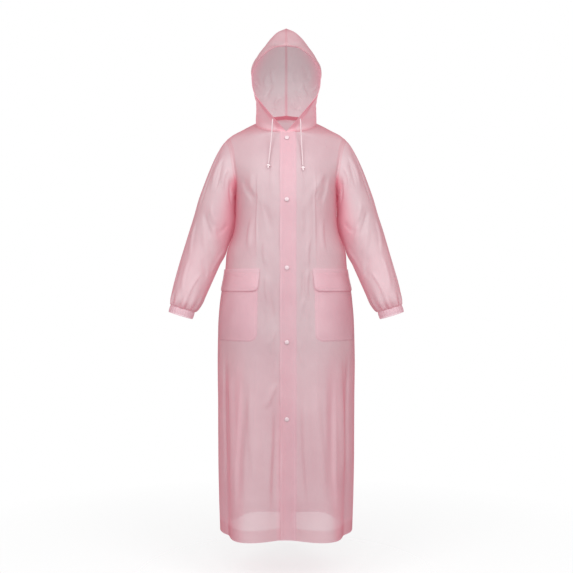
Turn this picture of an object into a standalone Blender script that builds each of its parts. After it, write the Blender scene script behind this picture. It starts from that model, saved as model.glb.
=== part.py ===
"""A long hooded raincoat of thin frosted film, in the hollow shape it has when it is worn.

Metres, +Z up. The wearer faces -Y and the wearer's left is +X. The origin is at the base of the neck,
level with the neck end of the shoulder seams, where a wearer holds the coat. The tables give heights
above the hem, and every mesh is moved down by ORIGIN_HEIGHT at the end.
"""

import math

import bmesh
import bpy
import numpy as np
from mathutils import Vector

# Cloth, and the gaps between pieces.
CLOTH = 0.0012  # wall of a panel
TRIM_CLOTH = 0.0010  # wall of a piece that lies on a panel
SEAM = 0.0005  # between two panels at a seam
HOOD_SEAM = 0.0014  # between the hood's halves, whose edges lean towards each other
LAYER = 0.0007  # between a panel and what lies on it

# Heights above the hem.
ORIGIN_HEIGHT = 1.2525
UNDERARM_HEIGHT = 1.017
SHOULDER_TIP_HEIGHT = 1.206
NECK_FRONT_HEIGHT = 1.213
NECK_SIDE_HEIGHT = 1.2525
NECK_BACK_HEIGHT = 1.277
HEM_BAND = 0.035
HEM_END_ROOM = 10 * SEAM  # off the turned hem's two ends

# Neck, shoulder and armhole.
NECK_HALF_WIDTH = 0.094
NECK_FRONT_DEPTH = 0.105
NECK_BACK_DEPTH = 0.075
ARMHOLE_HALF_DEPTH = 0.080
SHOULDER_SLOPE = (0.882, 0.0, -0.471)  # the way the shoulder seam leaves the neck
SHOULDER_END = (0.80, 0.0, -0.60)  # the way it reaches the sleeve

# How square the body's cross-section is. 0.55 is an ellipse.
SQUARE_HEM = 0.58
SQUARE_UNDERARM = 0.62
SQUARE_TURN = 0.6  # share of the way up the armhole at which that squareness has gone
FLAT_START = 0.36  # above it, the length of a line's handle at the centre, as a share of the line
FLAT_END = 0.33  # and at the armhole

# Grid lines shared by the pieces that meet.
ARMHOLE_STEPS = 12  # lines from the underarm to the shoulder tip, on the front and on the back
NECK_STEPS = 4  # of those, how many end at the neck
CENTRE_LINES = (0.0, 0.010, 0.018, 0.030, 0.058, 0.085)  # distance from the centre front
SIDE_STEPS = 7  # lines from the last of those to the side seam

# Snap band down the front.
BAND_FREE_EDGE = 2  # index in CENTRE_LINES, on the wearer's right of the centre
BAND_SEWN_EDGE = 3  # index in CENTRE_LINES, on the wearer's left
BAND_TOP_ROOM = 4 * SEAM
SNAP_HEIGHTS = (1.192, 1.006, 0.804, 0.585, 0.358)
SNAP_X = 0.002
SNAP_RADIUS = 0.0065
SNAP_THICKNESS = 0.0026
# Radius as a share of the cap's, and height as a share of its thickness.
SNAP_PROFILE = ((0, 0), (0.90, 0), (1, 0.25), (0.93, 0.62), (0.68, 0.9), (0, 1))

# Patch pockets.
POCKET_TOP = 0.788
POCKET_BOTTOM = 0.586
FLAP_TOP = 0.801
FLAP_BOTTOM = 0.735
POCKET_CORNER = 0.024
FLAP_CORNER = 0.016
FLAP_OVERHANG = 0.004
CORNER_TURNS = (0, 0.35, 0.7, 1.0)  # places round a corner, as shares of its quarter turn

# Sleeve, cuff, hood casing and drawcord.
SLEEVE_GATHERS = 12
ARMHOLE_RINGS = 4  # rings over which the sleeve takes up the armhole's own bend
ARMHOLE_LEAN = 0.027  # how much further out the shoulder tip is than the underarm
UNDERARM_ROOM = 0.0018
CUFF_GATHERS = 26
CUFF_WAVE = 0.0011
CASING_LINES = 2  # grid lines back from the rim, 12 mm each
CASING_END_ROOM = 6 * SEAM
TAPE_LINES = 6  # grid lines each side of the centre back
CORD_DIAMETER = 0.004
CORD_GAP = 0.0004
KNOT_RADIUS = 0.0048
# Radius and height along the cord, as shares of the knot's radius.
KNOT_PROFILE = ((0, 0), (0.55, 0), (0.9, 0.35), (1, 0.9), (0.8, 1.5), (0.4, 1.8), (0, 1.85))
TURNED_SIDES = 14  # of a snap cap or a knot

HOLLOW = (0, 0, 0.8)  # a point inside the body
HOOD_HOLLOW = (0, 0, 1.4)  # a point inside the hood

FRONT, BACK = -1, 1
RIGHT, LEFT = -1, 1


def table(columns, *rows):
    """A short table, as one array for each named column."""
    return dict(zip(columns.split(), np.array(rows, float).T))


# Widest points of the body at the side seam.
SIDE = table(
    "height half_width",
    (0.000, 0.2045),
    (0.130, 0.2085),
    (0.400, 0.211),
    (0.550, 0.212),
    (0.680, 0.2065),
    (0.735, 0.2000),
    (0.775, 0.1920),
    (0.825, 0.186),
    (0.862, 0.178),
    (0.890, 0.168),
    (0.920, 0.158),
    (0.947, 0.153),
    (0.983, 0.153),
    (1.017, 0.156),
)

# Centre front and centre back, seen from the side.
PROFILE = table(
    "height front_depth back_depth",
    (0.000, 0.153, 0.225),
    (0.300, 0.151, 0.200),
    (0.550, 0.152, 0.176),
    (0.700, 0.153, 0.158),
    (0.820, 0.150, 0.138),
    (0.920, 0.145, 0.122),
    (1.017, 0.146, 0.122),
    (1.090, 0.139, 0.124),
    (1.160, 0.124, 0.115),
    (1.213, 0.105, 0.101),
    (1.277, 0.090, 0.075),
)

# The armhole's edge, from the underarm up to the shoulder tip.
ARMHOLE = table(
    "height front_half_width back_half_width",
    (1.017, 0.156, 0.156),
    (1.053, 0.150, 0.154),
    (1.113, 0.157, 0.162),
    (1.183, 0.172, 0.176),
    (1.206, 0.183, 0.183),
)

# Folds of the skirt. across is -1 at the wearer's right side seam, 0 at the centre and 1 at the left.
FRONT_FOLDS = table(
    "across half_width depth top",
    (-0.35, 0.31, 0.046, 0.74),
    (0.35, 0.31, 0.045, 0.72),
    (-0.01, 0.14, -0.008, 0.62),
)
FOLD_GROWTH = 1.2  # 1 is a fold whose depth grows evenly down to the hem
BACK_FOLDS = table(
    "across half_width depth top",
    (0.02, 0.17, -0.014, 0.78),
    (-0.31, 0.20, 0.016, 0.72),
    (0.33, 0.21, 0.018, 0.75),
    (-0.62, 0.16, -0.012, 0.66),
    (0.64, 0.17, -0.014, 0.62),
    (0.02, 0.30, -0.004, 1.00),
)

# Rings of the sleeve, each through a point on its outer and on its inner line.
SLEEVE = table(
    "outer_x outer_z inner_x inner_z half_depth centre_y gather",
    (0.1830, 1.2060, 0.1560, 1.0170, 0.080, 0.000, 0),
    (0.1990, 1.1840, 0.1592, 1.0080, 0.081, 0.000, 0),
    (0.2150, 1.1560, 0.1590, 0.9980, 0.081, -0.001, 0),
    (0.2320, 1.1200, 0.1580, 0.9820, 0.080, -0.002, 0),
    (0.2505, 1.0730, 0.1572, 0.9600, 0.078, -0.003, 0),
    (0.2685, 1.0230, 0.1580, 0.9350, 0.076, -0.004, 0),
    (0.2825, 0.9740, 0.1655, 0.9080, 0.073, -0.006, 0),
    (0.2980, 0.9240, 0.1765, 0.8780, 0.070, -0.009, 0),
    (0.3125, 0.8745, 0.1945, 0.8380, 0.067, -0.014, 0),
    (0.3265, 0.8250, 0.2145, 0.7920, 0.064, -0.021, 0),
    (0.3400, 0.7750, 0.2300, 0.7560, 0.062, -0.029, 0),
    (0.3485, 0.7350, 0.2455, 0.7220, 0.059, -0.037, 0.0008),
    (0.3525, 0.7120, 0.2585, 0.6960, 0.055, -0.042, 0.0022),
    (0.3520, 0.6990, 0.2725, 0.6790, 0.046, -0.045, 0.0034),
    (0.3515, 0.6940, 0.2800, 0.6715, 0.038, -0.046, 0.0024),
)

# Rings of the cuff, in line with the sleeve's end. size is a share of the sleeve's last ring.
CUFF = table("along size", (0.0012, 1.00), (0.0115, 1.08), (0.0230, 1.00))

# Lines of the hood, each from the rim or, above it, the ridge, by the side to the back seam.
HOOD = table(
    "front_x front_y front_z side_x side_y side_z back_y back_z",
    (0.0000, -0.105, 1.213, 0.0940, 0.000, 1.2525, 0.075, 1.277),
    (0.0200, -0.109, 1.234, 0.0935, 0.000, 1.272, 0.083, 1.293),
    (0.0450, -0.110, 1.262, 0.0925, 0.000, 1.296, 0.097, 1.318),
    (0.0705, -0.108, 1.292, 0.0940, 0.000, 1.322, 0.112, 1.345),
    (0.0920, -0.104, 1.320, 0.0980, 0.000, 1.347, 0.124, 1.370),
    (0.1015, -0.100, 1.345, 0.1025, 0.000, 1.372, 0.131, 1.395),
    (0.1035, -0.098, 1.375, 0.1060, 0.002, 1.398, 0.135, 1.420),
    (0.1000, -0.096, 1.402, 0.1065, 0.004, 1.424, 0.134, 1.445),
    (0.0855, -0.093, 1.427, 0.0990, 0.006, 1.447, 0.129, 1.468),
    (0.0650, -0.090, 1.449, 0.0860, 0.010, 1.470, 0.121, 1.489),
    (0.0350, -0.087, 1.469, 0.0715, 0.014, 1.490, 0.110, 1.508),
    (0.0000, -0.085, 1.476, 0.0590, 0.018, 1.509, 0.098, 1.524),
    (0.0000, -0.050, 1.505, 0.0450, 0.021, 1.526, 0.082, 1.538),
    (0.0000, -0.015, 1.534, 0.0265, 0.025, 1.543, 0.062, 1.551),
    (0.0000, 0.026, 1.559, 0.0010, 0.028, 1.560, 0.030, 1.560),
)
RIM_LINES = 12  # of those, how many start on the rim
# Handles of a line's two curves, as shares of the way across in x, y and z.
HOOD_CHEEK = np.array(((0.75, 0.33, 0.33), (0, 0.5, 0.33)))
HOOD_BACK = np.array(((0, 0.58, 0.33), (0.58, 0, 0.33)))

# The drawcord's free ends, from the casing down to the knot.
CORD_ROUTES = {
    RIGHT: (
        (-0.0400, -0.1125, 1.2474),
        (-0.0404, -0.1165, 1.2464),
        (-0.0409, -0.1205, 1.2420),
        (-0.0413, -0.1225, 1.2340),
        (-0.0422, -0.1232, 1.2180),
        (-0.0438, -0.1243, 1.1950),
        (-0.0463, -0.1275, 1.1680),
        (-0.0493, -0.1340, 1.1400),
        (-0.0524, -0.1392, 1.1120),
    ),
    LEFT: (
        (0.0420, -0.1120, 1.2474),
        (0.0424, -0.1160, 1.2464),
        (0.0428, -0.1200, 1.2420),
        (0.0431, -0.1220, 1.2340),
        (0.0436, -0.1228, 1.2170),
        (0.0447, -0.1240, 1.1930),
        (0.0461, -0.1275, 1.1650),
        (0.0478, -0.1345, 1.1350),
        (0.0493, -0.1402, 1.1050),
    ),
}


def read(columns, name, by, at):
    """A smooth curve through a table's column, as a cubic through each gap between two rows."""
    x, y = columns[by], columns[name]
    slope = np.gradient(y, x)
    k = int(np.clip(np.searchsorted(x, at) - 1, 0, len(x) - 2))
    gap = x[k + 1] - x[k]
    t = min(max((at - x[k]) / gap, 0.0), 1.0)
    rise, fall = t * t * (3 - 2 * t), t * (1 - t) * (1 - t)
    return y[k] + (y[k + 1] - y[k]) * rise + gap * (slope[k] * fall - slope[k + 1] * t * t * (1 - t))


def bezier(a, b, c, d, t):
    return a * (1 - t) ** 3 + 3 * b * t * (1 - t) ** 2 + 3 * c * t * t * (1 - t) + d * t**3


def unit(vector):
    return np.asarray(vector, float) / np.linalg.norm(vector)


def ease(t):
    t = min(max(t, 0.0), 1.0)
    return t * t * (3 - 2 * t)


# ---- the body's skin


def neck(face, turn):
    """The neck edge, from the centre of the front or back at 0 to the end of the shoulder seam at 1."""
    angle = turn * math.pi / 2
    depth = NECK_FRONT_DEPTH if face == FRONT else NECK_BACK_DEPTH
    centre = NECK_FRONT_HEIGHT if face == FRONT else NECK_BACK_HEIGHT
    height = NECK_SIDE_HEIGHT + (centre - NECK_SIDE_HEIGHT) * math.cos(angle)
    return np.array((NECK_HALF_WIDTH * math.sin(angle), face * depth * math.cos(angle), height))


def armhole(face, turn):
    """The armhole's edge on the wearer's left, from the underarm at 0 to the shoulder tip at 1."""
    rise = (1 - math.cos(turn * math.pi)) / 2
    height = UNDERARM_HEIGHT + (SHOULDER_TIP_HEIGHT - UNDERARM_HEIGHT) * rise
    column = "front_half_width" if face == FRONT else "back_half_width"
    x = read(ARMHOLE, column, "height", height)
    return np.array((x, face * ARMHOLE_HALF_DEPTH * math.sin(turn * math.pi), height))


def towards_sleeve(face, turn):
    """The way the cloth runs at the armhole: round the side at the underarm and outwards at the shoulder."""
    outwards = math.sin(turn * math.pi / 2)
    round_side = math.cos(turn * math.pi / 2) ** 2
    return unit((SHOULDER_END[0] * outwards, -face * round_side, SHOULDER_END[2] * outwards * turn))


def body_line(face, level):
    """Control points of a line across half the front or back. Levels 0 to 1 run from the hem to the underarm
    and 1 to 2 up the armhole. The last NECK_STEPS lines start on the neck edge."""
    depth_column = "front_depth" if face == FRONT else "back_depth"
    if level <= 1:
        height = level * UNDERARM_HEIGHT
        width = read(SIDE, "half_width", "height", height)
        depth = read(PROFILE, depth_column, "height", height)
        start, end = np.array((0, face * depth, height)), np.array((width, 0, height))
        square = SQUARE_HEM + (SQUARE_UNDERARM - SQUARE_HEM) * level
        return start, start + (square * width, 0, 0), end + (0, face * square * depth, 0), end
    turn = level - 1
    neck_turn = 1 - NECK_STEPS / ARMHOLE_STEPS
    end = armhole(face, turn)
    if turn <= neck_turn:
        top = NECK_FRONT_HEIGHT if face == FRONT else NECK_BACK_HEIGHT
        height = UNDERARM_HEIGHT + (top - UNDERARM_HEIGHT) * turn / neck_turn
        start = np.array((0, face * read(PROFILE, depth_column, "height", height), height))
        away = np.array((1.0, 0, 0))
    else:
        share = (turn - neck_turn) / (1 - neck_turn)
        start = neck(face, share)
        away = unit((1 - share) * np.array((1.0, 0, 0)) + share * np.array(SHOULDER_SLOPE))
    span = np.linalg.norm(end - start)
    width = read(SIDE, "half_width", "height", UNDERARM_HEIGHT)
    depth = read(PROFILE, depth_column, "height", UNDERARM_HEIGHT)
    blend = ease(turn / SQUARE_TURN)
    first = (1 - blend) * SQUARE_UNDERARM * width + blend * FLAT_START * span
    last = (1 - blend) * SQUARE_UNDERARM * depth + blend * FLAT_END * span
    return start, start + first * away, end - last * towards_sleeve(face, turn), end


def fold_depth(face, across, height):
    """How far the skirt's folds push the cloth out at a place."""
    folds = FRONT_FOLDS if face == FRONT else BACK_FOLDS
    total = 0.0
    for centre, half_width, depth, top in zip(*folds.values()):
        near = max(0.0, 1 - ((across - centre) / half_width) ** 2) ** 2
        grown = max(0.0, 1 - height / top) ** FOLD_GROWTH
        total += depth * near * grown
    return total


def share_at_x(line, x):
    """Where along a body line, from 0 to 1, the cloth is x from the centre."""
    low, high = 0.0, 1.0
    for _ in range(40):
        middle = (low + high) / 2
        if bezier(*line, middle)[0] < x:
            low = middle
        else:
            high = middle
    return low


def line_shares(face, level):
    """Places along a body line: at the fixed distances from the centre, then evenly to the side."""
    neck_level = 2 - NECK_STEPS / ARMHOLE_STEPS
    line = body_line(face, min(level, neck_level))
    near = [share_at_x(line, x) for x in CENTRE_LINES]
    return near + list(np.linspace(near[-1], 1, SIDE_STEPS + 1)[1:])


def body_point(face, side, line, share):
    """A point of the cloth at a share of a body line, with the skirt's folds, on the side asked for."""
    at, step = bezier(*line, share), 1e-4
    run = bezier(*line, min(share + step, 1)) - bezier(*line, max(share - step, 0))
    out = unit((-face * run[1], face * run[0], 0))
    at = at + out * fold_depth(face, side * share, at[2])
    return at * (side, 1, 1)


def body_levels():
    """The rows of the front and back: heights below the underarm, then even steps up the armhole."""
    rows = (0, HEM_BAND, 0.120, 0.200, 0.280, 0.360, 0.440, 0.515, POCKET_BOTTOM, 0.640, 0.690)
    rows += (FLAP_BOTTOM, 0.768, FLAP_TOP, 0.835, 0.870, 0.900, 0.930, 0.970)
    upper = [1 + k / ARMHOLE_STEPS for k in range(ARMHOLE_STEPS + 1)]
    return [height / UNDERARM_HEIGHT for height in rows] + upper


def body_grid(face, side):
    """Points of half the front or back: a row for each level, with its points from the centre to the side."""
    rows = []
    for level in body_levels():
        line = body_line(face, level)
        rows.append([body_point(face, side, line, share) for share in line_shares(face, level)])
    return np.array(rows)


# ---- sheets, the form of every piece of cloth


def normals_of(grid):
    """The way out at each point of a grid whose columns run away from the centre."""
    down = np.gradient(grid, axis=0)
    along = np.gradient(grid, axis=1)
    out = np.cross(along, down)
    length = np.linalg.norm(out, axis=2, keepdims=True)
    return out / np.maximum(length, 1e-12)


def lifted(grid, distance, hollow_side):
    """The grid moved out along its normals, away from the hollow that the point hollow_side lies in."""
    out = normals_of(grid)
    outward = np.sign(((grid - np.asarray(hollow_side)) * out).sum(axis=2).mean())
    return grid + out * distance * outward


def trimmed(grid, edges, gap):
    """The grid with half a seam's gap cut from each named edge."""
    grid = grid.copy()
    columns = grid.swapaxes(0, 1)
    views = {"bottom": grid, "top": grid[::-1], "centre": columns, "side": columns[::-1]}
    for edge in edges:
        view = views[edge]
        inwards = view[1] - view[0]
        view[0] += inwards / np.maximum(np.linalg.norm(inwards, axis=1, keepdims=True), 1e-9) * gap / 2
    return grid


def material(name, colour, roughness, alpha=1.0):
    found = bpy.data.materials.get(name)
    if found:
        return found
    made = bpy.data.materials.new(name)
    made.use_nodes = True
    shader = made.node_tree.nodes["Principled BSDF"]
    shader.inputs["Base Color"].default_value = (*colour, 1)
    shader.inputs["Roughness"].default_value = roughness
    shader.inputs["Alpha"].default_value = alpha
    return made


def film():
    return material("frosted_film", (0.86, 0.50, 0.56), 0.45, 0.75)


def white_plastic():
    return material("white_plastic", (0.90, 0.88, 0.88), 0.35)


def add(name, mesh, finish):
    """An object for the mesh, in the coat's collection and down at the origin's height."""
    obj = bpy.data.objects.new(name, mesh)
    obj.location.z = -ORIGIN_HEIGHT
    mesh.materials.append(finish)
    bpy.data.collections["raincoat"].objects.link(obj)
    return obj


def sheet(name, grids, thickness, ring=False):
    """A wall of cloth through grids of points. Grids that share an edge are sewn into one sheet."""
    mesh = bpy.data.meshes.new(name)
    shape = bmesh.new()
    for grid in grids:
        rows, columns = grid.shape[:2]
        points = [[shape.verts.new(point) for point in row] for row in grid]
        for j in range(rows - 1):
            for i in range(columns if ring else columns - 1):
                k = (i + 1) % columns
                shape.faces.new((points[j][i], points[j][k], points[j + 1][k], points[j + 1][i]))
    bmesh.ops.remove_doubles(shape, verts=shape.verts, dist=2e-5)
    bmesh.ops.dissolve_degenerate(shape, edges=shape.edges, dist=1e-6)
    bmesh.ops.recalc_face_normals(shape, faces=shape.faces)
    shape.to_mesh(mesh)
    shape.free()
    mesh.shade_smooth()
    obj = add(name, mesh, film())
    wall = obj.modifiers.new("wall", "SOLIDIFY")
    wall.thickness = thickness
    wall.offset = 0
    wall.use_even_offset = True
    wall.use_quality_normals = True
    return obj


# ---- the pieces


def side_name(side):
    return "left" if side == LEFT else "right"


def body():
    """Two fronts and a back, which meet at the sides and shoulders."""
    for side in (RIGHT, LEFT):
        panel = trimmed(body_grid(FRONT, side), ("centre", "side", "top"), SEAM)
        sheet(f"front_{side_name(side)}", [panel], CLOTH)
    halves = []
    for side in (RIGHT, LEFT):
        grid = body_grid(BACK, side)
        panel = trimmed(grid, ("side", "top"), SEAM)
        neck_row = len(grid) - 1 - NECK_STEPS
        edge = trimmed(grid[neck_row:], ("centre",), SEAM)[1:, 0]
        panel[neck_row + 1 :, 0] = edge - (0, 0, SEAM / 2)
        halves.append(panel)
    sheet("back", halves, CLOTH)


def whole(face):
    """The front's or back's points up to the neck, as one grid from the right side seam to the left one, and
    the index of its centre column."""
    rows = slice(0, len(body_levels()) - NECK_STEPS)
    right, left = body_grid(face, RIGHT)[rows], body_grid(face, LEFT)[rows]
    return np.concatenate((right[:, :0:-1], left), axis=1), left.shape[1] - 1


def front_bands():
    """The snap band, on the left front and over the right one, and the right front's own band behind it."""
    grid, centre = whole(FRONT)
    lift = (CLOTH + TRIM_CLOTH) / 2 + LAYER
    over = lifted(grid, lift, HOLLOW)[:, centre - BAND_FREE_EDGE : centre + BAND_SEWN_EDGE + 1]
    sheet("snap_band", [trimmed(over, ("top",), BAND_TOP_ROOM)], TRIM_CLOTH)
    under = lifted(grid, -lift, HOLLOW)[:, centre - BAND_FREE_EDGE : centre + BAND_FREE_EDGE + 1]
    sheet("under_band", [trimmed(under, ("top",), BAND_TOP_ROOM)], TRIM_CLOTH)


def hem_bands():
    """The hem, turned up inside each panel. At the front it stops at the under band."""
    lift = -(CLOTH + TRIM_CLOTH) / 2 - LAYER
    ends = ("centre", "side")
    grid, centre = whole(FRONT)
    inside = lifted(grid, lift, HOLLOW)[:2]
    right, left = inside[:, : centre - BAND_FREE_EDGE + 1], inside[:, centre + BAND_FREE_EDGE :]
    sheet("hem_front_right", [trimmed(right, ends, HEM_END_ROOM)], TRIM_CLOTH)
    sheet("hem_front_left", [trimmed(left, ends, HEM_END_ROOM)], TRIM_CLOTH)
    inside = lifted(whole(BACK)[0], lift, HOLLOW)[:2]
    sheet("hem_back", [trimmed(inside, ends, HEM_END_ROOM)], TRIM_CLOTH)


def patch(grid, bottom, top, corner, overhang, lift):
    """Points of a patch on half a front, with its bottom corners rounded. It lies from the last of CENTRE_LINES
    to the line before the side seam, and overhang past them. Its columns are the front's own, held between its
    sides."""
    heights = np.array([level * UNDERARM_HEIGHT for level in body_levels() if level <= 1])
    cuts = [bottom + corner * (1 - math.cos(turn * math.pi / 2)) for turn in CORNER_TURNS]
    cuts += [height for height in heights if cuts[-1] < height < top] + [top]
    flat = lifted(grid, lift, HOLLOW)
    rows = []
    for cut in cuts:
        k = int(np.clip(np.searchsorted(heights, cut, side="right") - 1, 0, len(heights) - 2))
        share = (cut - heights[k]) / (heights[k + 1] - heights[k])
        line = flat[k] + (flat[k + 1] - flat[k]) * share
        along = np.concatenate(((0,), np.cumsum(np.linalg.norm(np.diff(line, axis=0), axis=1))))
        above_corner = max(bottom + corner - cut, 0.0)
        rounding = corner - math.sqrt(max(corner**2 - above_corner**2, 0.0))
        inner = along[len(CENTRE_LINES) - 1] - overhang + rounding
        outer = along[-2] + overhang - rounding
        places = [inner] + list(np.clip(along[len(CENTRE_LINES) - 1 : -1], inner, outer)) + [outer]
        rows.append([[np.interp(place, along, line[:, axis]) for axis in range(3)] for place in places])
    return np.array(rows)


def pockets():
    """A patch pocket on each front, and its flap over the pocket's mouth and a little past its sides."""
    on_front = (CLOTH + TRIM_CLOTH) / 2 + LAYER
    on_pocket = on_front + TRIM_CLOTH + 1.5 * LAYER
    for side in (RIGHT, LEFT):
        grid = body_grid(FRONT, side)
        pocket = patch(grid, POCKET_BOTTOM, POCKET_TOP, POCKET_CORNER, 0, on_front)
        sheet(f"pocket_{side_name(side)}", [pocket], TRIM_CLOTH)
        flap = patch(grid, FLAP_BOTTOM, FLAP_TOP, FLAP_CORNER, FLAP_OVERHANG, on_pocket)
        sheet(f"pocket_flap_{side_name(side)}", [flap], TRIM_CLOTH)


def ring_middle(place):
    """The middle of a sleeve ring, the way across it to its outer line, and its row of the table."""
    row = {name: np.interp(place, range(len(column)), column) for name, column in SLEEVE.items()}
    outer = np.array((row["outer_x"], row["centre_y"], row["outer_z"]))
    inner = np.array((row["inner_x"], row["centre_y"], row["inner_z"]))
    return (outer + inner) / 2, (outer - inner) / 2, row


def armhole_turn(turn):
    """The face, and the share of the way up its armhole, that a sleeve line starts from."""
    return (FRONT, 2 * turn) if turn <= 0.5 else (BACK, 2 - 2 * turn)


def armhole_start(turn):
    """Where a sleeve line starts: a seam's gap off the armhole's edge, and wider at the underarm, where the
    sleeve and the side of the body hang down together."""
    face, up = armhole_turn(turn)
    rise = math.sin(up * math.pi / 2)
    away = rise * towards_sleeve(face, up) + (1 - up) ** 2 * np.array((1.0, 0, 0))
    return armhole(face, up) + unit(away) * (SEAM + UNDERARM_ROOM * (1 - rise) ** 2)


def sleeve_point(place, turn):
    """A point of the left sleeve. place counts the table's rows. A turn starts at the underarm, by the front."""
    middle, reach, row = ring_middle(place)
    angle = turn * 2 * math.pi
    wave = row["gather"] * math.cos(SLEEVE_GATHERS * angle)
    point = middle - reach * math.cos(angle) * (1 + wave / np.linalg.norm(reach))
    point[1] -= (row["half_depth"] + wave) * math.sin(angle)
    edge = armhole(*armhole_turn(turn))
    rise = (edge[2] - UNDERARM_HEIGHT) / (SHOULDER_TIP_HEIGHT - UNDERARM_HEIGHT)
    bend = edge[0] - (SLEEVE["inner_x"][0] + rise * ARMHOLE_LEAN)
    point[0] += bend * max(0.0, 1 - place / ARMHOLE_RINGS) ** 2
    return point


def sleeves():
    turns = [k / (2 * ARMHOLE_STEPS) for k in range(2 * ARMHOLE_STEPS)]
    rings = [[armhole_start(turn) for turn in turns]]
    rings += [[sleeve_point(place, turn) for turn in turns] for place in range(1, len(SLEEVE["gather"]))]
    for side in (RIGHT, LEFT):
        sheet(f"sleeve_{side_name(side)}", [np.array(rings) * (side, 1, 1)], CLOTH, ring=True)


def cuffs():
    """An elastic band at each wrist, in short even gathers."""
    middle, reach, row = ring_middle(len(SLEEVE["gather"]) - 1)
    along = unit((reach[2], 0, -reach[0]))
    rings = []
    for distance, size in zip(CUFF["along"], CUFF["size"]):
        ring = []
        for index in range(2 * CUFF_GATHERS):
            angle = index * math.pi / CUFF_GATHERS
            wave = CUFF_WAVE * (1 if index % 2 else -1)
            point = middle + along * distance
            point -= unit(reach) * (size * np.linalg.norm(reach) + wave) * math.cos(angle)
            point[1] -= (size * row["half_depth"] + wave) * math.sin(angle)
            ring.append(point)
        rings.append(ring)
    for side in (RIGHT, LEFT):
        sheet(f"cuff_{side_name(side)}", [np.array(rings) * (side, 1, 1)], TRIM_CLOTH, ring=True)


def hood_line(row):
    """Control points of a hood line, from the rim or ridge to the side, and from there to the back seam."""
    at = {name: column[row] for name, column in HOOD.items()}
    front = np.array((at["front_x"], at["front_y"], at["front_z"]))
    side = np.array((at["side_x"], at["side_y"], at["side_z"]))
    back = np.array((0, at["back_y"], at["back_z"]))
    to_side, to_back = side - front, back - side
    first = (front, front + to_side * HOOD_CHEEK[0], side - to_side * HOOD_CHEEK[1], side)
    second = (side, side + to_back * HOOD_BACK[0], back - to_back * HOOD_BACK[1], back)
    return first, second


def hood_grid(side):
    """Points of half the hood. Its lowest row follows the body's neck edge, point for point."""
    shares = np.linspace(0, 1, 2 * NECK_STEPS + 1)
    neck_edge = [neck(FRONT, k / NECK_STEPS) for k in range(NECK_STEPS + 1)]
    neck_edge += [neck(BACK, 1 - k / NECK_STEPS) for k in range(1, NECK_STEPS + 1)]
    lowest = []
    for a, b in zip(neck_edge, neck_edge[1:]):
        lowest += [a, (a + b) / 2]
    rows = [np.array(lowest + neck_edge[-1:])]
    for row in range(1, len(HOOD["front_x"])):
        first, second = hood_line(row)
        line = [bezier(*first, share) for share in shares] + [bezier(*second, share) for share in shares[1:]]
        rows.append(np.array(line))
    grid = np.array(rows)
    grid[0] += (0, 0, CLOTH + SEAM)
    return grid * (side, 1, 1)


def hood_whole():
    """The hood's points from the right rim by the back seam to the left rim, and the index of that seam."""
    right, left = hood_grid(RIGHT), hood_grid(LEFT)
    return np.concatenate((right[:, :-1], left[:, ::-1]), axis=1), right.shape[1] - 1


def off_centre(grid, side, gap):
    """The grid with every point at least half a gap to its own side of the centre."""
    grid = grid.copy()
    grid[..., 0] = side * np.maximum(side * grid[..., 0], gap / 2)
    return grid


def hood():
    """Two halves, sewn from the rim over the peak to the nape, the drawcord's casing turned in round the face,
    and a narrow tape inside the back neck seam."""
    grid, centre = hood_whole()
    inside = lifted(grid, -(CLOTH + TRIM_CLOTH) / 2 - LAYER, HOOD_HOLLOW)
    for side in (RIGHT, LEFT):
        half = slice(0, centre + 1) if side == RIGHT else slice(centre, None)
        sheet(f"hood_{side_name(side)}", [off_centre(grid[:, half], side, HOOD_SEAM)], CLOTH)
        turned_in = slice(0, CASING_LINES + 1) if side == RIGHT else slice(-CASING_LINES - 1, None)
        band = trimmed(inside[:RIM_LINES, turned_in], ("bottom",), CASING_END_ROOM)
        sheet(f"hood_casing_{side_name(side)}", [off_centre(band, side, 2 * HOOD_SEAM)], TRIM_CLOTH)
    tape = inside[:2, centre - TAPE_LINES : centre + TAPE_LINES + 1]
    sheet("neck_tape", [trimmed(tape, ("bottom", "top"), 3 * SEAM)], TRIM_CLOTH)


def turned(name, profile, at, facing, finish):
    """A round piece: a profile of (radius, height) pairs turned about the way it faces."""
    mesh = bpy.data.meshes.new(name)
    shape = bmesh.new()
    angles = [2 * math.pi * k / TURNED_SIDES for k in range(TURNED_SIDES)]
    rings = []
    for radius, height in profile:
        if radius == 0:
            rings.append([shape.verts.new((0, 0, height))])
            continue
        rings.append([shape.verts.new((radius * math.cos(a), radius * math.sin(a), height)) for a in angles])
    for low, high in zip(rings, rings[1:]):
        for k in range(TURNED_SIDES):
            nearer = [low[k % len(low)], low[(k + 1) % len(low)]]
            further = [high[(k + 1) % len(high)], high[k % len(high)]]
            shape.faces.new(list(dict.fromkeys(nearer + further)))
    bmesh.ops.recalc_face_normals(shape, faces=shape.faces)
    shape.to_mesh(mesh)
    shape.free()
    mesh.shade_smooth()
    obj = add(name, mesh, finish)
    obj.rotation_mode = "QUATERNION"
    obj.rotation_quaternion = Vector(facing).to_track_quat("Z", "Y")
    obj.location = Vector(at) - Vector((0, 0, ORIGIN_HEIGHT))
    return obj


def front_surface(x, height):
    """A point of the front near its centre, and the way out there."""
    side = LEFT if x >= 0 else RIGHT

    def at(height):
        level = height / UNDERARM_HEIGHT
        if level > 1:
            neck_turn = 1 - NECK_STEPS / ARMHOLE_STEPS
            level = 1 + neck_turn * (height - UNDERARM_HEIGHT) / (NECK_FRONT_HEIGHT - UNDERARM_HEIGHT)
        line = body_line(FRONT, level)
        return body_point(FRONT, side, line, share_at_x(line, abs(x)))

    low, high = at(height - 0.01), at(height + 0.01)
    rise = high - low
    return at(height), unit((0, -rise[2], rise[1]))


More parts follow.
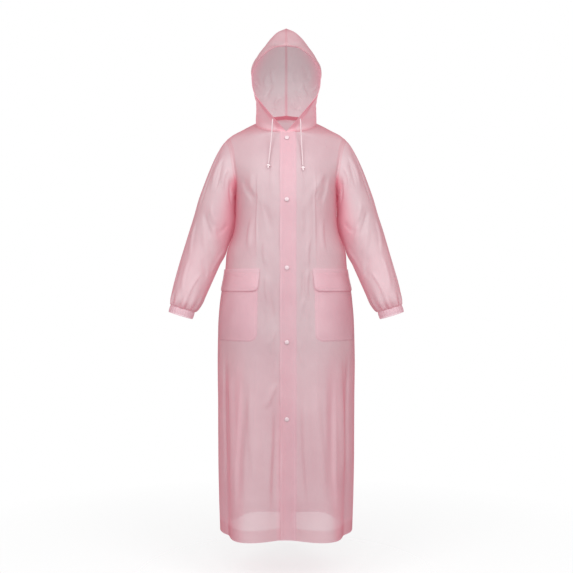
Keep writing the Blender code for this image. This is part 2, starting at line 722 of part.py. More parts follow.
def snaps():
    """Round caps down the snap band, each with its flat back just clear of it."""
    stand = CLOTH / 2 + LAYER + TRIM_CLOTH + LAYER
    dome = [(SNAP_RADIUS * radius, SNAP_THICKNESS * height) for radius, height in SNAP_PROFILE]
    for index, height in enumerate(SNAP_HEIGHTS, start=1):
        at, out = front_surface(SNAP_X, height)
        turned(f"snap_{index}", dome, at + out * stand, out, white_plastic())


def smooth_route(points, spacing):
    """Evenly spaced points on one smooth curve through the route's own points, straight on past its ends."""
    route = np.array(points)
    route = np.concatenate(([2 * route[0] - route[1]], route, [2 * route[-1] - route[-2]]))
    fine = []
    for a, b, c, d in zip(route, route[1:], route[2:], route[3:]):
        for t in np.linspace(0, 1, 12, endpoint=False):
            bend, twist = 2 * a - 5 * b + 4 * c - d, 3 * b - a - 3 * c + d
            fine.append(b + ((c - a) * t + bend * t**2 + twist * t**3) / 2)
    fine = np.array(fine + [route[-2]])
    along = np.concatenate(((0,), np.cumsum(np.linalg.norm(np.diff(fine, axis=0), axis=1))))
    steps = np.linspace(0, along[-1], round(along[-1] / spacing) + 1)
    return [tuple(np.interp(step, along, fine[:, axis]) for axis in range(3)) for step in steps]


def drawcords():
    """The drawcord's two free ends: out of the casing beside the throat and down the chest to a knot."""
    for side, route in CORD_ROUTES.items():
        curve = bpy.data.curves.new(f"drawcord_{side_name(side)}", "CURVE")
        curve.dimensions = "3D"
        curve.bevel_depth = CORD_DIAMETER / 2
        curve.bevel_resolution = 2
        curve.use_fill_caps = True
        points = smooth_route(route, 2.5 * CORD_DIAMETER)
        spline = curve.splines.new("POLY")
        spline.points.add(len(points) - 1)
        for point, at in zip(spline.points, points):
            point.co = (*at, 1)
        add(curve.name, curve, white_plastic())
        end, before = np.array(points[-1]), np.array(points[-2])
        down = unit(end - before)
        knot = [(KNOT_RADIUS * radius, KNOT_RADIUS * height) for radius, height in KNOT_PROFILE]
        turned(f"cord_knot_{side_name(side)}", knot, end + down * CORD_GAP, down, white_plastic())


def main():
    for obj in list(bpy.data.objects):
        bpy.data.objects.remove(obj)
    collection = bpy.data.collections.new("raincoat")
    bpy.context.scene.collection.children.link(collection)
    body()
    front_bands()
    hem_bands()
    pockets()
    sleeves()
    cuffs()
    hood()
    snaps()
    drawcords()


main()
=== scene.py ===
"""The looks of a long hooded raincoat of frosted film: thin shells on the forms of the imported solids, with their
creases, welded seams, gathers, snaps and cord, in a white studio.

Metres, +Z up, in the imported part's frame. The tables are in millimetres. Heights are above the hem, and every mesh is
moved down by ORIGIN_HEIGHT at the end.
"""

import math

import bmesh
import bpy
import numpy as np
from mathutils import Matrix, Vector, kdtree


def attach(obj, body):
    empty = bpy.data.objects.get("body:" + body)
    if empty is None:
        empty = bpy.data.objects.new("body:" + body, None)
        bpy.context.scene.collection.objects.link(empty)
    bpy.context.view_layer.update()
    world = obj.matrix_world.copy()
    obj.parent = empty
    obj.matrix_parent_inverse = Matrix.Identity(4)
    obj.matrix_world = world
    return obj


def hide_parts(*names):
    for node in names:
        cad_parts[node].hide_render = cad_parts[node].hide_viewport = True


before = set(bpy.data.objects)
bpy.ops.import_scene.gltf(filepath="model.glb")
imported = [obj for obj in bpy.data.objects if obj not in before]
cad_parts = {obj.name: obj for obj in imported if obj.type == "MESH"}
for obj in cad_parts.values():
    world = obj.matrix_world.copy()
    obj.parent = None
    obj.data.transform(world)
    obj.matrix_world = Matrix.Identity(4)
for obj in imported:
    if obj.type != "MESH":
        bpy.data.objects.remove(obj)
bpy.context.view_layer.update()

# ---- the coat's driving dimensions

ORIGIN_HEIGHT = 1.2525
UNDERARM_HEIGHT = 1.017
SHOULDER_TIP_HEIGHT = 1.206
NECK_FRONT_HEIGHT = 1.213
NECK_SIDE_HEIGHT = 1.2525
NECK_BACK_HEIGHT = 1.277
HEM_BAND = 0.035
HEM_END = 0.995  # of the way from the centre to the side seam
NECK_HALF_WIDTH = 0.094
NECK_FRONT_DEPTH = 0.105
NECK_BACK_DEPTH = 0.075
ARMHOLE_HALF_DEPTH = 0.080
SHOULDER_SLOPE = (0.882, 0.0, -0.471)
SHOULDER_END = (0.80, 0.0, -0.60)
SQUARE_HEM = 0.58
SQUARE_UNDERARM = 0.62
SQUARE_TURN = 0.6
FLAT_START = 0.36
FLAT_END = 0.33
NECK_LEVEL = 1 + 2 / 3  # from this row up, rows begin on the neck edge

BAND_FREE = -0.018  # the snap band's edges, across from the centre
BAND_SEWN = 0.030
UNDER_BAND = 0.018
SNAP_HEIGHTS = (1.192, 1.006, 0.804, 0.585, 0.358)
SNAP_X = 0.002
SNAP_RADIUS = 0.0065
POCKET_TOP = 0.788
POCKET_BOTTOM = 0.586
POCKET_CORNER = 0.024
POCKET_INNER = 0.085  # across from the centre
POCKET_OUTER = 6 / 7  # of the way from there to the side seam
FLAP_TOP = 0.801
FLAP_BOTTOM = 0.735
FLAP_CORNER = 0.016
ARMHOLE_RINGS = 4
ARMHOLE_LEAN = 0.027
SLEEVE_ROWS = 14
SLEEVE_GATHERS = 12
CUFF_GATHERS = 26
CUFF_WAVE = 0.0003
CUFF_HEIGHT = 0.023
CUFF_ROSY = 0.12
CASING_WIDTH = 0.021
CASING_WELD = 0.0035  # in from its inner edge
CORD_DIAMETER = 0.004
KNOT_RADIUS = 0.0048
STRAND_RADIUS = 0.0017  # the cord, pulled tight in its knot
KNOT_PITCH = 0.007  # one turn of its strands there
PEAK_ROW = 14
RIM_TOP_ROW = 11

# How far a piece's film is from the film of the panel that it lies on.
ON_PANEL = 0.0018
ON_POCKET = 0.0036
WELDED = 0.0005
STAND = 0.0030  # a snap cap's flat back

# Weld lines, in from a piece's edge, and how far the welded allowance of a seam reaches.
BAND_WELD = 0.0045
POCKET_WELD = 0.0065
FLAP_WELD = 0.0055
SEAM_WELD = 0.0060
NO_WELD = 0.05

FRONT, BACK = -1, 1
RIGHT, LEFT = -1, 1
SIDE_NAMES = {RIGHT: "right", LEFT: "left"}
SHOULDER_END_X = 0.183
HOLLOW = (0, 0, 0.8)
HOOD_HOLLOW = (0, 0, 1.4)
MM = 0.001


def numbers(rows, scale=MM):
    """An array of lines of numbers, in millimetres unless scale says otherwise. A line with a # is a comment."""
    lines = [line.split() for line in rows.splitlines() if line.strip() and "#" not in line]
    return np.array(lines, float) * scale


def table(columns, rows, scale=MM):
    """One array for each named column of some lines of numbers."""
    return dict(zip(columns.split(), numbers(rows, scale).T))


def by_row(columns, rows):
    """A table whose lines are rows 0, 1, 2 and so on."""
    made = table(columns, rows)
    return {"row": np.arange(len(made[columns.split()[0]]), dtype=float), **made}


def creases(rows, scale=MM):
    return table("from_x from_z to_x to_z half_width depth", rows, scale)


SIDE = table("height half_width", """
    0 204.5
    130 208.5
    400 211
    550 212
    680 206.5
    735 200
    775 192
    825 186.2
    845 185
    862 181.8
    890 171.2
    920 160.5
    947 156.3
    983 156.5
    1017 156
    """)
PROFILE = table("height front_depth back_depth", """
    0 153 225
    300 151 200
    550 152 176
    700 153 158
    820 150 138
    920 145 122
    1017 146 122
    1090 139 124
    1160 124 115
    1213 105 101
    1277 90 75
    """)
ARMHOLE = table("height front_half_width back_half_width", """
    1017 156 156
    1053 150 154
    1113 157 162
    1183 172 176
    1206 183 183
    """)
# across is -1 at the wearer's right side seam, 0 at the centre and 1 at the left side seam.
FRONT_FOLDS = table("across half_width depth top", """
    -0.35 0.31 46 740
    0.35 0.31 45 720
    -0.01 0.14 -8 620
    """, (1, 1, MM, MM))
FOLD_GROWTH = 1.2
BACK_FOLDS = table("across half_width depth top", """
    0.02 0.17 -14 780
    -0.31 0.2 16 720
    0.33 0.21 18 750
    -0.62 0.16 -12 660
    0.64 0.17 -14 620
    0.02 0.3 -4 1000
    """, (1, 1, MM, MM))
SLEEVE = by_row("outer_x outer_z inner_x inner_z half_depth centre_y gather", """
    183 1206 156 1017 80 0 0
    199 1184 159.2 1008 81 0 0
    215 1156 159 998 81 -1 0
    232 1120 158 982 80 -2 0
    250.5 1073 157.2 960 78 -3 0
    268.5 1023 158 935 76 -4 0
    282.5 974 165.5 908 73 -6 0
    298 924 176.5 878 70 -9 0
    312.5 874.5 194.5 838 67 -14 0
    326.5 825 214.5 792 64 -21 0
    340 775 230 756 62 -29 0
    348.5 735 245.5 722 59 -37 0.8
    352.5 712 258.5 696 55 -42 2.2
    352 699 272.5 679 46 -45 3.4
    351.5 694 280 671.5 38 -46 2.4
    """)
# Each of the hood's lines runs from the rim or, above it, the ridge, by the side to the back seam.
HOOD = by_row("front_x front_y front_z side_x side_y side_z back_y back_z", """
    0 -105 1213 94 0 1252.5 75 1277
    20 -109 1234 93.5 0 1272 83 1293
    45 -110 1262 92.5 0 1296 97 1318
    70.5 -108 1292 94 0 1322 112 1345
    92 -104 1320 98 0 1347 124 1370
    101.5 -100 1345 102.5 0 1372 131 1395
    103.5 -98 1375 106 2 1398 135 1420
    100 -96 1402 104.8 4 1424 134 1445
    85.5 -93 1427 96.8 6 1447 129 1468
    65 -90 1449 85.2 10 1470 121 1489
    35 -87 1469 71.5 14 1490 110 1508
    0 -85 1476 59 18 1509 98 1524
    0 -50 1505 45 21 1526 82 1538
    0 -15 1534 26.5 25 1543.5 62 1550
    0 26 1555.5 1 28 1556 30 1556
    """)
HOOD_CHEEK = np.array(((0.75, 0.33, 0.33), (0, 0.5, 0.33)))
HOOD_BACK = np.array(((0, 0.58, 0.33), (0.58, 0, 0.33)))

# The drawcord's free ends, from the casing down to the knot.
CORD_ROUTES = {
    RIGHT: numbers("""
        -40 -112.5 1247.4
        -40.4 -116.5 1246.4
        -40.9 -120.5 1242
        -41.3 -122.5 1234
        -42.2 -123.2 1218
        -43.8 -124.3 1195
        -46.3 -127.5 1168
        -49.3 -134 1140
        -52.4 -139.2 1112
        """),
    LEFT: numbers("""
        42 -112 1247.4
        42.4 -116 1246.4
        42.8 -120 1242
        43.1 -122 1234
        43.6 -122.8 1217
        44.7 -124 1193
        46.1 -127.5 1165
        47.8 -134.5 1135
        49.3 -140.2 1105
        """),
}

# ---- creases, given one by one. Each runs from one end to the other; a depth below 0 is a trough.

# from_x and to_x are distances round the cloth from the centre front, above 0 on the wearer's left.
FRONT_CREASES = creases("""
    # where the coat was folded in its packet
    -89 1100 -90 815 4.5 1.7
    88 1110 90 810 4.5 1.6
    -88 560 -90 300 5 0.8
    89 570 88 340 5 0.8
    # chest and waist
    -148 1080 -100 985 15 -2.8
    -126 1090 -86 1010 13 1.4
    -90 1060 -68 975 14 1.4
    -64 1000 -50 900 11 -2
    147 1085 101 985 15 -3
    124 1095 85 1015 13 1.5
    92 1060 64 970 14 1.5
    64 990 53 880 10 -2.2
    -36 1160 -46 1010 9 1.5
    42 1150 54 1020 8 1.4
    -110 960 -118 850 11 2.2
    -66 890 -61 800 9 2.3
    112 960 121 840 11 2.1
    70 900 64 790 8 2.5
    # between and under the pockets
    69 810 58 700 9 3
    56 800 46 700 6 -2.6
    -60 790 -52 690 10 2.5
    -50 750 -41 640 7 -2.3
    52 720 44 640 7 2
    -64 690 -72 600 8 -1.6
    70 670 78 590 8 -1.5
    -36 620 -46 540 8 1.8
    38 600 56 500 9 2.5
    -26 560 -40 480 6 -1.7
    # the skirt
    -69 385 -20 466 11 4
    -56 560 -28 640 9 2.2
    -35 430 -29 60 16 -6.4
    -128 500 -126 50 15 -5.6
    -93 470 -92 110 20 4
    -175 540 -165 90 17 5
    42 460 48 70 13 -3.8
    129 520 133 40 16 -6
    92 480 91 90 20 4.4
    176 550 169 100 18 4.8
    -206 570 -202 110 12 -4
    208 570 204 120 13 -4.2
    """)
# from_x and to_x are distances round the cloth from the centre back.
BACK_CREASES = creases("""
    -90 1100 -88 800 4.5 1.7
    89 1110 88 780 4.5 1.6
    -88 640 -88 280 5 0.8
    88 620 87 300 5 0.8
    -20 1190 -50 1060 15 2.8
    18 1180 46 1050 14 2.6
    -140 1120 -105 1020 15 4.2
    -117 1090 -85 990 10 -3.4
    140 1130 108 1030 15 4
    120 1090 88 1000 11 -3.3
    -55 1020 -30 900 14 2.8
    52 1030 34 880 13 3
    1 1000 -6 840 12 -2.6
    -118 960 -98 850 12 3
    116 950 96 830 12 3.2
    -60 860 -90 720 11 -3
    66 850 93 730 12 -3.2
    -30 780 -48 560 17 4.4
    42 800 56 580 16 4.2
    4 700 6 110 20 -6
    -70 560 -78 50 21 5.8
    76 580 86 70 22 6.2
    -135 640 -144 70 19 -6
    138 660 148 50 20 -6.2
    -200 620 -206 80 20 5.2
    203 640 208 70 20 5.4
    -36 400 -33 50 14 -3.6
    42 420 39 60 13 -3.2
    """)
# The first four columns are turns and rows, not millimetres. A turn runs from the underarm by the front, the top and
# the back; a row is one of SLEEVE's.
SLEEVE_GIRTH = 0.44  # of the cloth for one turn
SLEEVE_ROW = 0.040
SLEEVE_CREASES = creases("""
    0.36 1 0.33 4.4 10 2.6
    0.32 1.4 0.29 4 8 -2
    0.41 0.9 0.39 6 7 -2.6
    0.27 0.8 0.24 3.4 12 3
    0.2 0.6 0.12 3.4 12 -3.4
    0.15 0.6 0.08 2.8 10 1.4
    0.3 4.8 0.2 6.2 12 2.8
    0.33 5.4 0.22 7.2 10 -2.8
    0.24 6 0.14 7.4 12 2.2
    0.3 6.6 0.17 8.4 11 2.6
    0.11 5.2 0.2 6.8 10 -1.6
    0.4 6.2 0.33 8.8 11 2.6
    0.22 8.2 0.13 9.8 11 -2.2
    0.34 8.4 0.3 11.2 11 2.6
    0.2 9.2 0.24 11.6 10 2.2
    0.06 7.2 0.1 9.4 10 1.8
    0.42 8.8 0.43 11.6 10 -2
    0.56 1.4 0.58 5 10 3.8
    0.66 1.4 0.72 3.8 12 -5
    0.74 1 0.84 3 11 5
    0.62 4.6 0.72 6.2 11 4.6
    0.7 5.6 0.84 7 11 -4.6
    0.6 6.8 0.74 8.2 10 4.4
    0.86 5.6 0.78 7.6 9 3.8
    0.64 8.6 0.68 11.4 10 3.8
    0.8 8.6 0.76 11.4 9 -3.6
    0.93 6.8 0.88 9.6 9 3.4
    """, (SLEEVE_GIRTH, SLEEVE_ROW, SLEEVE_GIRTH, SLEEVE_ROW, MM, MM))
# x and height as seen from behind, and y and height as seen from the side.
HOOD_BACK_CREASES = creases("""
    -47 1455 -42 1395 7 2.8
    -42 1400 -73 1345 8 -3.4
    50 1410 66 1350 8 3.4
    34 1385 50 1335 7 -3
    -18 1362 -42 1328 7 3.2
    -60 1440 -70 1380 9 2.8
    62 1470 72 1400 10 -3
    22 1450 26 1400 8 2
    20 1350 34 1310 8 2.8
    -30 1318 -56 1296 7 -2.6
    44 1326 62 1300 7 2.6
    """)
HOOD_SIDE_CREASES = creases("""
    -85 1272 -10 1288 10 1.6
    -60 1300 30 1322 11 -1.6
    -80 1330 -20 1310 10 1.4
    10 1335 80 1350 11 2.6
    -50 1450 -10 1380 11 2.6
    -10 1500 50 1440 12 -2.8
    40 1400 85 1370 10 2.8
    """)
# Painted shade under the arm, where the film is also crushed together. Radii in turns and rows.
UNDERARM_SHADE = table("turn row turn_radius row_radius strength", """
    0.15 0.6 0.08 1.5 0.62
    0.05 0.6 0.08 1.6 0.8
    0.02 2.8 0.085 3 0.7
    0.04 5.4 0.08 2.6 0.4
    """, 1)


def read(columns, name, by, at):
    """A smooth curve through a table's column, as a cubic through each gap between two rows."""
    x, y = columns[by], columns[name]
    at = np.asarray(at, float)
    slope = np.gradient(y, x)
    k = np.clip(np.searchsorted(x, at) - 1, 0, len(x) - 2)
    gap = x[k + 1] - x[k]
    t = np.clip((at - x[k]) / gap, 0.0, 1.0)
    rise, fall = t * t * (3 - 2 * t), t * (1 - t) * (1 - t)
    return y[k] + (y[k + 1] - y[k]) * rise + gap * (slope[k] * fall - slope[k + 1] * t * t * (1 - t))


def bezier(points, t):
    """Points of a cubic curve at the shares t, and the way it runs there."""
    a, b, c, d = points
    t = np.asarray(t, float)[:, None]
    u = 1 - t
    at = a * u**3 + 3 * b * t * u**2 + 3 * c * t**2 * u + d * t**3
    return at, (b - a) * u**2 + 2 * (c - b) * t * u + (d - c) * t**2


def unit(vector):
    vector = np.asarray(vector, float)
    return vector / np.maximum(np.linalg.norm(vector, axis=-1, keepdims=True), 1e-12)


def ease(t):
    t = np.clip(t, 0.0, 1.0)
    return t * t * (3 - 2 * t)


def along(points):
    """How far each of a row of points is from the first, along them."""
    return np.concatenate(((0,), np.cumsum(np.linalg.norm(np.diff(points, axis=0), axis=1))))


# ---- the body's skin


def neck(face, turn):
    """The neck edge, from the centre of the front or back at 0 to the end of the shoulder seam at 1."""
    angle = np.asarray(turn, float) * math.pi / 2
    depth = NECK_FRONT_DEPTH if face == FRONT else NECK_BACK_DEPTH
    centre = NECK_FRONT_HEIGHT if face == FRONT else NECK_BACK_HEIGHT
    height = NECK_SIDE_HEIGHT + (centre - NECK_SIDE_HEIGHT) * np.cos(angle)
    return np.stack((NECK_HALF_WIDTH * np.sin(angle), face * depth * np.cos(angle), height), axis=-1)


def armhole(face, turn):
    """The armhole's edge on the wearer's left, from the underarm at 0 to the shoulder tip at 1."""
    turn = np.asarray(turn, float)
    rise = (1 - np.cos(turn * math.pi)) / 2
    height = UNDERARM_HEIGHT + (SHOULDER_TIP_HEIGHT - UNDERARM_HEIGHT) * rise
    x = read(ARMHOLE, "front_half_width" if face == FRONT else "back_half_width", "height", height)
    return np.stack((x, face * ARMHOLE_HALF_DEPTH * np.sin(turn * math.pi), height), axis=-1)


def towards_sleeve(face, turn):
    outwards, round_side = math.sin(turn * math.pi / 2), math.cos(turn * math.pi / 2) ** 2
    return unit((SHOULDER_END[0] * outwards, -face * round_side, SHOULDER_END[2] * outwards * turn))


def body_line(face, level):
    """Control points of a line across half the front or back. Levels 0 to 1 run from the hem to the underarm and
    1 to 2 up the armhole."""
    depth_column = "front_depth" if face == FRONT else "back_depth"
    if level <= 1:
        height = level * UNDERARM_HEIGHT
        width = float(read(SIDE, "half_width", "height", height))
        depth = float(read(PROFILE, depth_column, "height", height))
        start, end = np.array((0, face * depth, height)), np.array((width, 0, height))
        square = SQUARE_HEM + (SQUARE_UNDERARM - SQUARE_HEM) * level
        return start, start + (square * width, 0, 0), end + (0, face * square * depth, 0), end
    turn = level - 1
    end = armhole(face, turn)
    if level <= NECK_LEVEL:
        top = NECK_FRONT_HEIGHT if face == FRONT else NECK_BACK_HEIGHT
        height = UNDERARM_HEIGHT + (top - UNDERARM_HEIGHT) * turn / (NECK_LEVEL - 1)
        start = np.array((0, face * float(read(PROFILE, depth_column, "height", height)), height))
        away = np.array((1.0, 0, 0))
    else:
        share = (level - NECK_LEVEL) / (2 - NECK_LEVEL)
        start = neck(face, share)
        away = unit((1 - share) * np.array((1.0, 0, 0)) + share * np.array(SHOULDER_SLOPE))
    span = np.linalg.norm(end - start)
    width = float(read(SIDE, "half_width", "height", UNDERARM_HEIGHT))
    depth = float(read(PROFILE, depth_column, "height", UNDERARM_HEIGHT))
    blend = ease(turn / SQUARE_TURN)
    first = (1 - blend) * SQUARE_UNDERARM * width + blend * FLAT_START * span
    last = (1 - blend) * SQUARE_UNDERARM * depth + blend * FLAT_END * span
    return start, start + first * away, end - last * towards_sleeve(face, turn), end


def fold_depth(face, across, height):
    folds = FRONT_FOLDS if face == FRONT else BACK_FOLDS
    total = 0.0
    for centre, half_width, depth, top in zip(*folds.values()):
        near = np.maximum(0.0, 1 - ((across - centre) / half_width) ** 2) ** 2
        total = total + depth * near * np.maximum(0.0, 1 - height / top) ** FOLD_GROWTH
    return total


FINE = np.linspace(0, 1, 121)


def distances(face, level):
    """How far round the cloth from the centre each of FINE's places on a row is. Above the neck's level the rows
    go on counting from the centre line."""
    line = body_line(face, level)
    return line[0][0] + along(bezier(line, FINE)[0])


def body_row(face, side, level, shares):
    """Points of a row with the skirt's folds, and how far round the cloth each is from the centre."""
    at, run = bezier(body_line(face, level), shares)
    out = unit(np.stack((-face * run[:, 1], face * run[:, 0], 0 * run[:, 0]), axis=1))
    at = at + out * fold_depth(face, side * shares, at[:, 2])[:, None]
    return at * (side, 1, 1), side * np.interp(shares, FINE, distances(face, level))


def crease_push(marks, x, z):
    """How far a table's creases push the cloth out, at distances x across and z up."""
    total = np.zeros_like(z)
    for x0, z0, x1, z1, half_width, depth in zip(*marks.values()):
        way = np.array((x1 - x0, z1 - z0))
        length = np.linalg.norm(way)
        way = way / length
        run = ((x - x0) * way[0] + (z - z0) * way[1]) / length
        # Each wanders a little and is steeper on one side than on the other.
        wander = 0.3 * half_width * np.sin(run * 5.1 + depth * 900)
        off = (x - x0) * way[1] - (z - z0) * way[0] + wander
        wide = half_width * np.where(off * np.sign(x0) > 0, 1.45, 0.85)
        ends = ease(run / 0.30) * ease((1 - run) / 0.36)
        total += depth * ends * np.maximum(0.0, 1 - (off / wide) ** 2) ** 2
    return total


def ripple(x, z, seed):
    """Slow shallow waves of loose film, a few tenths of a millimetre high."""
    slow = np.sin(41 * x + 3.1 * np.sin(9 * z + seed) + seed) * np.sin(23 * z + 2.3 * np.sin(17 * x))
    quick = np.sin(97 * x + 31 * z + 2 * seed) * np.sin(61 * z - 43 * x + seed)
    return 0.00050 * slow + 0.00018 * quick


def normals_of(grid, hollow, ring=False):
    """The way out of the hollow at each point of a grid."""
    if ring:
        wrapped = np.concatenate((grid[:, -1:], grid, grid[:, :1]), axis=1)
        across = np.gradient(wrapped, axis=1)[:, 1:-1]
    else:
        across = np.gradient(grid, axis=1)
    out = unit(np.cross(across, np.gradient(grid, axis=0)))
    middle = grid.mean(axis=1, keepdims=True) if hollow is None else np.asarray(hollow)
    return out * np.sign(((grid - middle) * out).sum(axis=2).mean())


def slack(shares, level):
    """1 where the cloth hangs free, down to 0 where a seam holds it."""
    free = ease((1 - shares) / 0.07) * ease((2 - level) / 0.12)
    if level > NECK_LEVEL - 0.12:
        free = free * ease(shares / 0.16)
    return free


SETTLING_STEPS = 90
SETTLING_LEVELS = 0.16  # how far from the underarm's level it reaches


def settled(grid, shares, levels):
    """A panel whose bend at the underarm's level is spread up and down the cloth."""
    here = ease(1 - np.abs(levels - 1.0) / SETTLING_LEVELS)[:, None]
    here = here * (ease(shares / 0.2) * ease((1 - shares) / 0.12))[None, :]
    for _ in range(SETTLING_STEPS):
        mean = (grid[:-2] + 2 * grid[1:-1] + grid[2:]) / 4
        grid = np.concatenate((grid[:1], grid[1:-1] + here[1:-1, :, None] * (mean - grid[1:-1]), grid[-1:]))
    return grid


SHOULDER_PULL = 0.0026
SHOULDER_REACH = 0.016
SHOULDER_WAY = (-0.42, 0, -0.91)


def rounded_shoulder(points):
    """Points near a shoulder tip, drawn in a little so that the sleeve's head is round."""
    mirror = np.where(points[..., :1] < 0, (-1, 1, 1), 1)
    tip = np.array((SHOULDER_END_X, 0, SHOULDER_TIP_HEIGHT))
    far = np.linalg.norm((points * mirror - tip) * (1, 0.45, 1), axis=-1)
    pull = SHOULDER_PULL * np.exp(-((far / SHOULDER_REACH) ** 2))
    return points + pull[..., None] * np.array(SHOULDER_WAY) * mirror


def stacked(levels, row_at):
    """What row_at gives for each level, each part of it as one array."""
    return [np.array(part) for part in zip(*(row_at(level) for level in levels))]


def laid(face, side, levels, shares_at, lift=0.0, centred=False):
    """Points of a piece of half the front or back, creased as the cloth is, and how far round the cloth each is.
    shares_at(level) gives a row's places, as shares of the row. lift is how far out of the panel the piece lies, for
    the whole of it, each row or each point."""

    def row_at(level):
        shares = shares_at(level)
        return *body_row(face, side, level, shares), slack(shares, level)

    grid, around, free = stacked(levels, row_at)
    if len(levels) == len(BODY_LEVELS):
        grid = settled(grid, shares_at(0), np.asarray(levels))
    out = normals_of(grid, HOLLOW)
    if centred:
        out[levels <= NECK_LEVEL + 1e-6, 0, 0] = 0
        out = unit(out)
    push = creased(face, around, grid[..., 2]) * free
    return rounded_shoulder(grid + out * (push + lift)[..., None]), around


def creased(face, around, height):
    marks = FRONT_CREASES if face == FRONT else BACK_CREASES
    return crease_push(marks, around, height) + ripple(around, height, face)


def share_at(x, level):
    """The share of half the front's row at which it is x across from the centre."""
    return np.interp(x, bezier(body_line(FRONT, min(level, NECK_LEVEL)), FINE)[0][:, 0], FINE)


def laid_across(across, lift):
    """As laid, for a band that crosses the centre of the front. across are its distances from the centre, the same
    in every row up to the neck."""
    on_right = across < 0

    def row_at(level):
        shares = share_at(np.abs(across), level)
        (right, right_far), (left, left_far) = (body_row(FRONT, side, level, shares) for side in SIDE_NAMES)
        far = np.where(on_right, right_far, left_far)
        return np.where(on_right[:, None], right, left), far, slack(shares, level)

    grid, around, free = stacked(BAND_LEVELS, row_at)
    push = creased(FRONT, around, grid[..., 2]) * free + lift
    return grid + normals_of(grid, HOLLOW) * push[..., None]


# ---- making pieces


def nearest(points, lines):
    """Each point's distance from the nearest of some lines of points."""
    places = np.concatenate([refined(line) for line in lines])
    tree = kdtree.KDTree(len(places))
    for index, place in enumerate(places):
        tree.insert(place, index)
    tree.balance()
    flat = np.asarray(points).reshape(-1, 3)
    return np.array([tree.find(point)[2] for point in flat]).reshape(points.shape[:-1])


def refined(line, step=0.0012):
    far = along(np.asarray(line))
    places = np.linspace(0, far[-1], max(2, int(far[-1] / step)))
    return np.stack([np.interp(places, far, np.asarray(line)[:, axis]) for axis in range(3)], axis=1)


def put(name, data, at=(0, 0, 0)):
    obj = bpy.data.objects.new(name, data)
    obj.location = at
    bpy.context.scene.collection.objects.link(obj)
    return obj


def placed(name, shape, stands_for, finish, mesh=None):
    """A smooth piece in its solid's place. mesh is the one that the shape was read from, if any."""
    bmesh.ops.recalc_face_normals(shape, faces=shape.faces)
    if mesh is None:
        mesh = bpy.data.meshes.new(name)
    shape.to_mesh(mesh)
    shape.free()
    mesh.shade_smooth()
    mesh.materials.append(finish)
    obj = put(name, mesh)
    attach(obj, "root")
    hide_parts(stands_for)
    return obj


def piece(name, grids, finish, ring=False):
    """A solid's film: a shell through grids of points, which are sewn where they share an edge. Each grid comes with
    its marks, for the whole of it, each row or each point: the distances to weld lines and to seams, how much painted
    shade darkens the film, and how much rosier it is made, for layers behind it and as painted shade."""
    points, faces, marks = [], [], {"weld": [], "seam": [], "painted_shade": [], "layers_and_shade": []}
    for grid, given in grids:
        rows, columns = grid.shape[:2]
        index = np.arange(rows * columns).reshape(rows, columns) + sum(len(part) for part in points)
        if ring:
            index = np.concatenate((index, index[:, :1]), axis=1)
        corners = (index[:-1, :-1], index[:-1, 1:], index[1:, 1:], index[1:, :-1])
        faces += np.stack(corners, axis=-1).reshape(-1, 4).tolist()
        points.append(grid.reshape(-1, 3) - (0, 0, ORIGIN_HEIGHT))
        for kind, values in marks.items():
            plain = NO_WELD if kind in ("weld", "seam") else 0.0
            values.append(np.broadcast_to(given.get(kind, plain), (rows, columns)).ravel())
    mesh = bpy.data.meshes.new(f"{name}_film")
    mesh.from_pydata(np.concatenate(points).tolist(), [], faces)
    for kind, values in marks.items():
        layer = mesh.attributes.new(kind, "FLOAT", "POINT")
        layer.data.foreach_set("value", np.concatenate(values).astype(np.float32))
    shape = bmesh.new()
    shape.from_mesh(mesh)
    bmesh.ops.remove_doubles(shape, verts=shape.verts, dist=4e-6)
    bmesh.ops.dissolve_degenerate(shape, edges=shape.edges, dist=1e-7)
    placed(f"{name}_film", shape, name, finish, mesh)


# ---- finishes


def fed(tree, made, inputs):
    """A shader node with each of its inputs given a value, or linked to an output."""
    for socket, value in inputs.items():
        if isinstance(value, bpy.types.NodeSocket):
            tree.links.new(value, made.inputs[socket])
        else:
            made.inputs[socket].default_value = value
    return made


def node(tree, kind, inputs=None):
    return fed(tree, tree.nodes.new("ShaderNode" + kind), inputs or {})


def maths(tree, operation, first, second, clamp=False):
    made = node(tree, "Math", {0: first, 1: second})
    made.operation = operation
    made.use_clamp = clamp
    return made.outputs[0]


def times(tree, value, factor):
    return maths(tree, "MULTIPLY", value, factor)


def mapped(tree, value, low, high, to_low, to_high):
    """value from low to high becomes to_low to to_high, and stays within them."""
    return node(tree, "MapRange", {0: value, 1: low, 2: high, 3: to_low, 4: to_high}).outputs[0]


def mixed(tree, share, first, second):
    """A colour between two colours, each three numbers or a socket."""
    made = tree.nodes.new("ShaderNodeMix")
    made.data_type = "RGBA"
    a, b = [socket for socket in made.inputs if socket.type == "RGBA"]
    for socket, value in ((a, first), (b, second)):
        if isinstance(value, tuple):
            socket.default_value = (*value, 1)
        else:
            tree.links.new(value, socket)
    tree.links.new(share, made.inputs[0])
    return next(socket for socket in made.outputs if socket.type == "RGBA")


def noise(tree, scale, detail, stretch=(1, 1, 1), roughness=0.5):
    """Noise in the object's own space, squeezed along each axis by stretch."""
    own = node(tree, "TexCoord").outputs["Object"]
    where = node(tree, "Mapping", {"Scale": stretch, "Vector": own}).outputs["Vector"]
    inputs = {"Scale": scale, "Detail": detail, "Roughness": roughness, "Vector": where}
    return node(tree, "TexNoise", inputs).outputs[0]


def mark(tree, name):
    made = node(tree, "Attribute")
    made.attribute_name = name
    return made.outputs["Fac"]


def bumped(tree, height, strength, distance):
    return node(tree, "Bump", {"Strength": strength, "Distance": distance, "Height": height}).outputs[0]


# The deep red of film doubled in a seam and of painted shade, and the rosier pink of layers seen through each other and
# of painted shade.
FILM_DEEP = (0.620, 0.090, 0.150)
FILM_ROSY = (0.930, 0.430, 0.520)
WELD_PALE = (0.860, 0.740, 0.770)


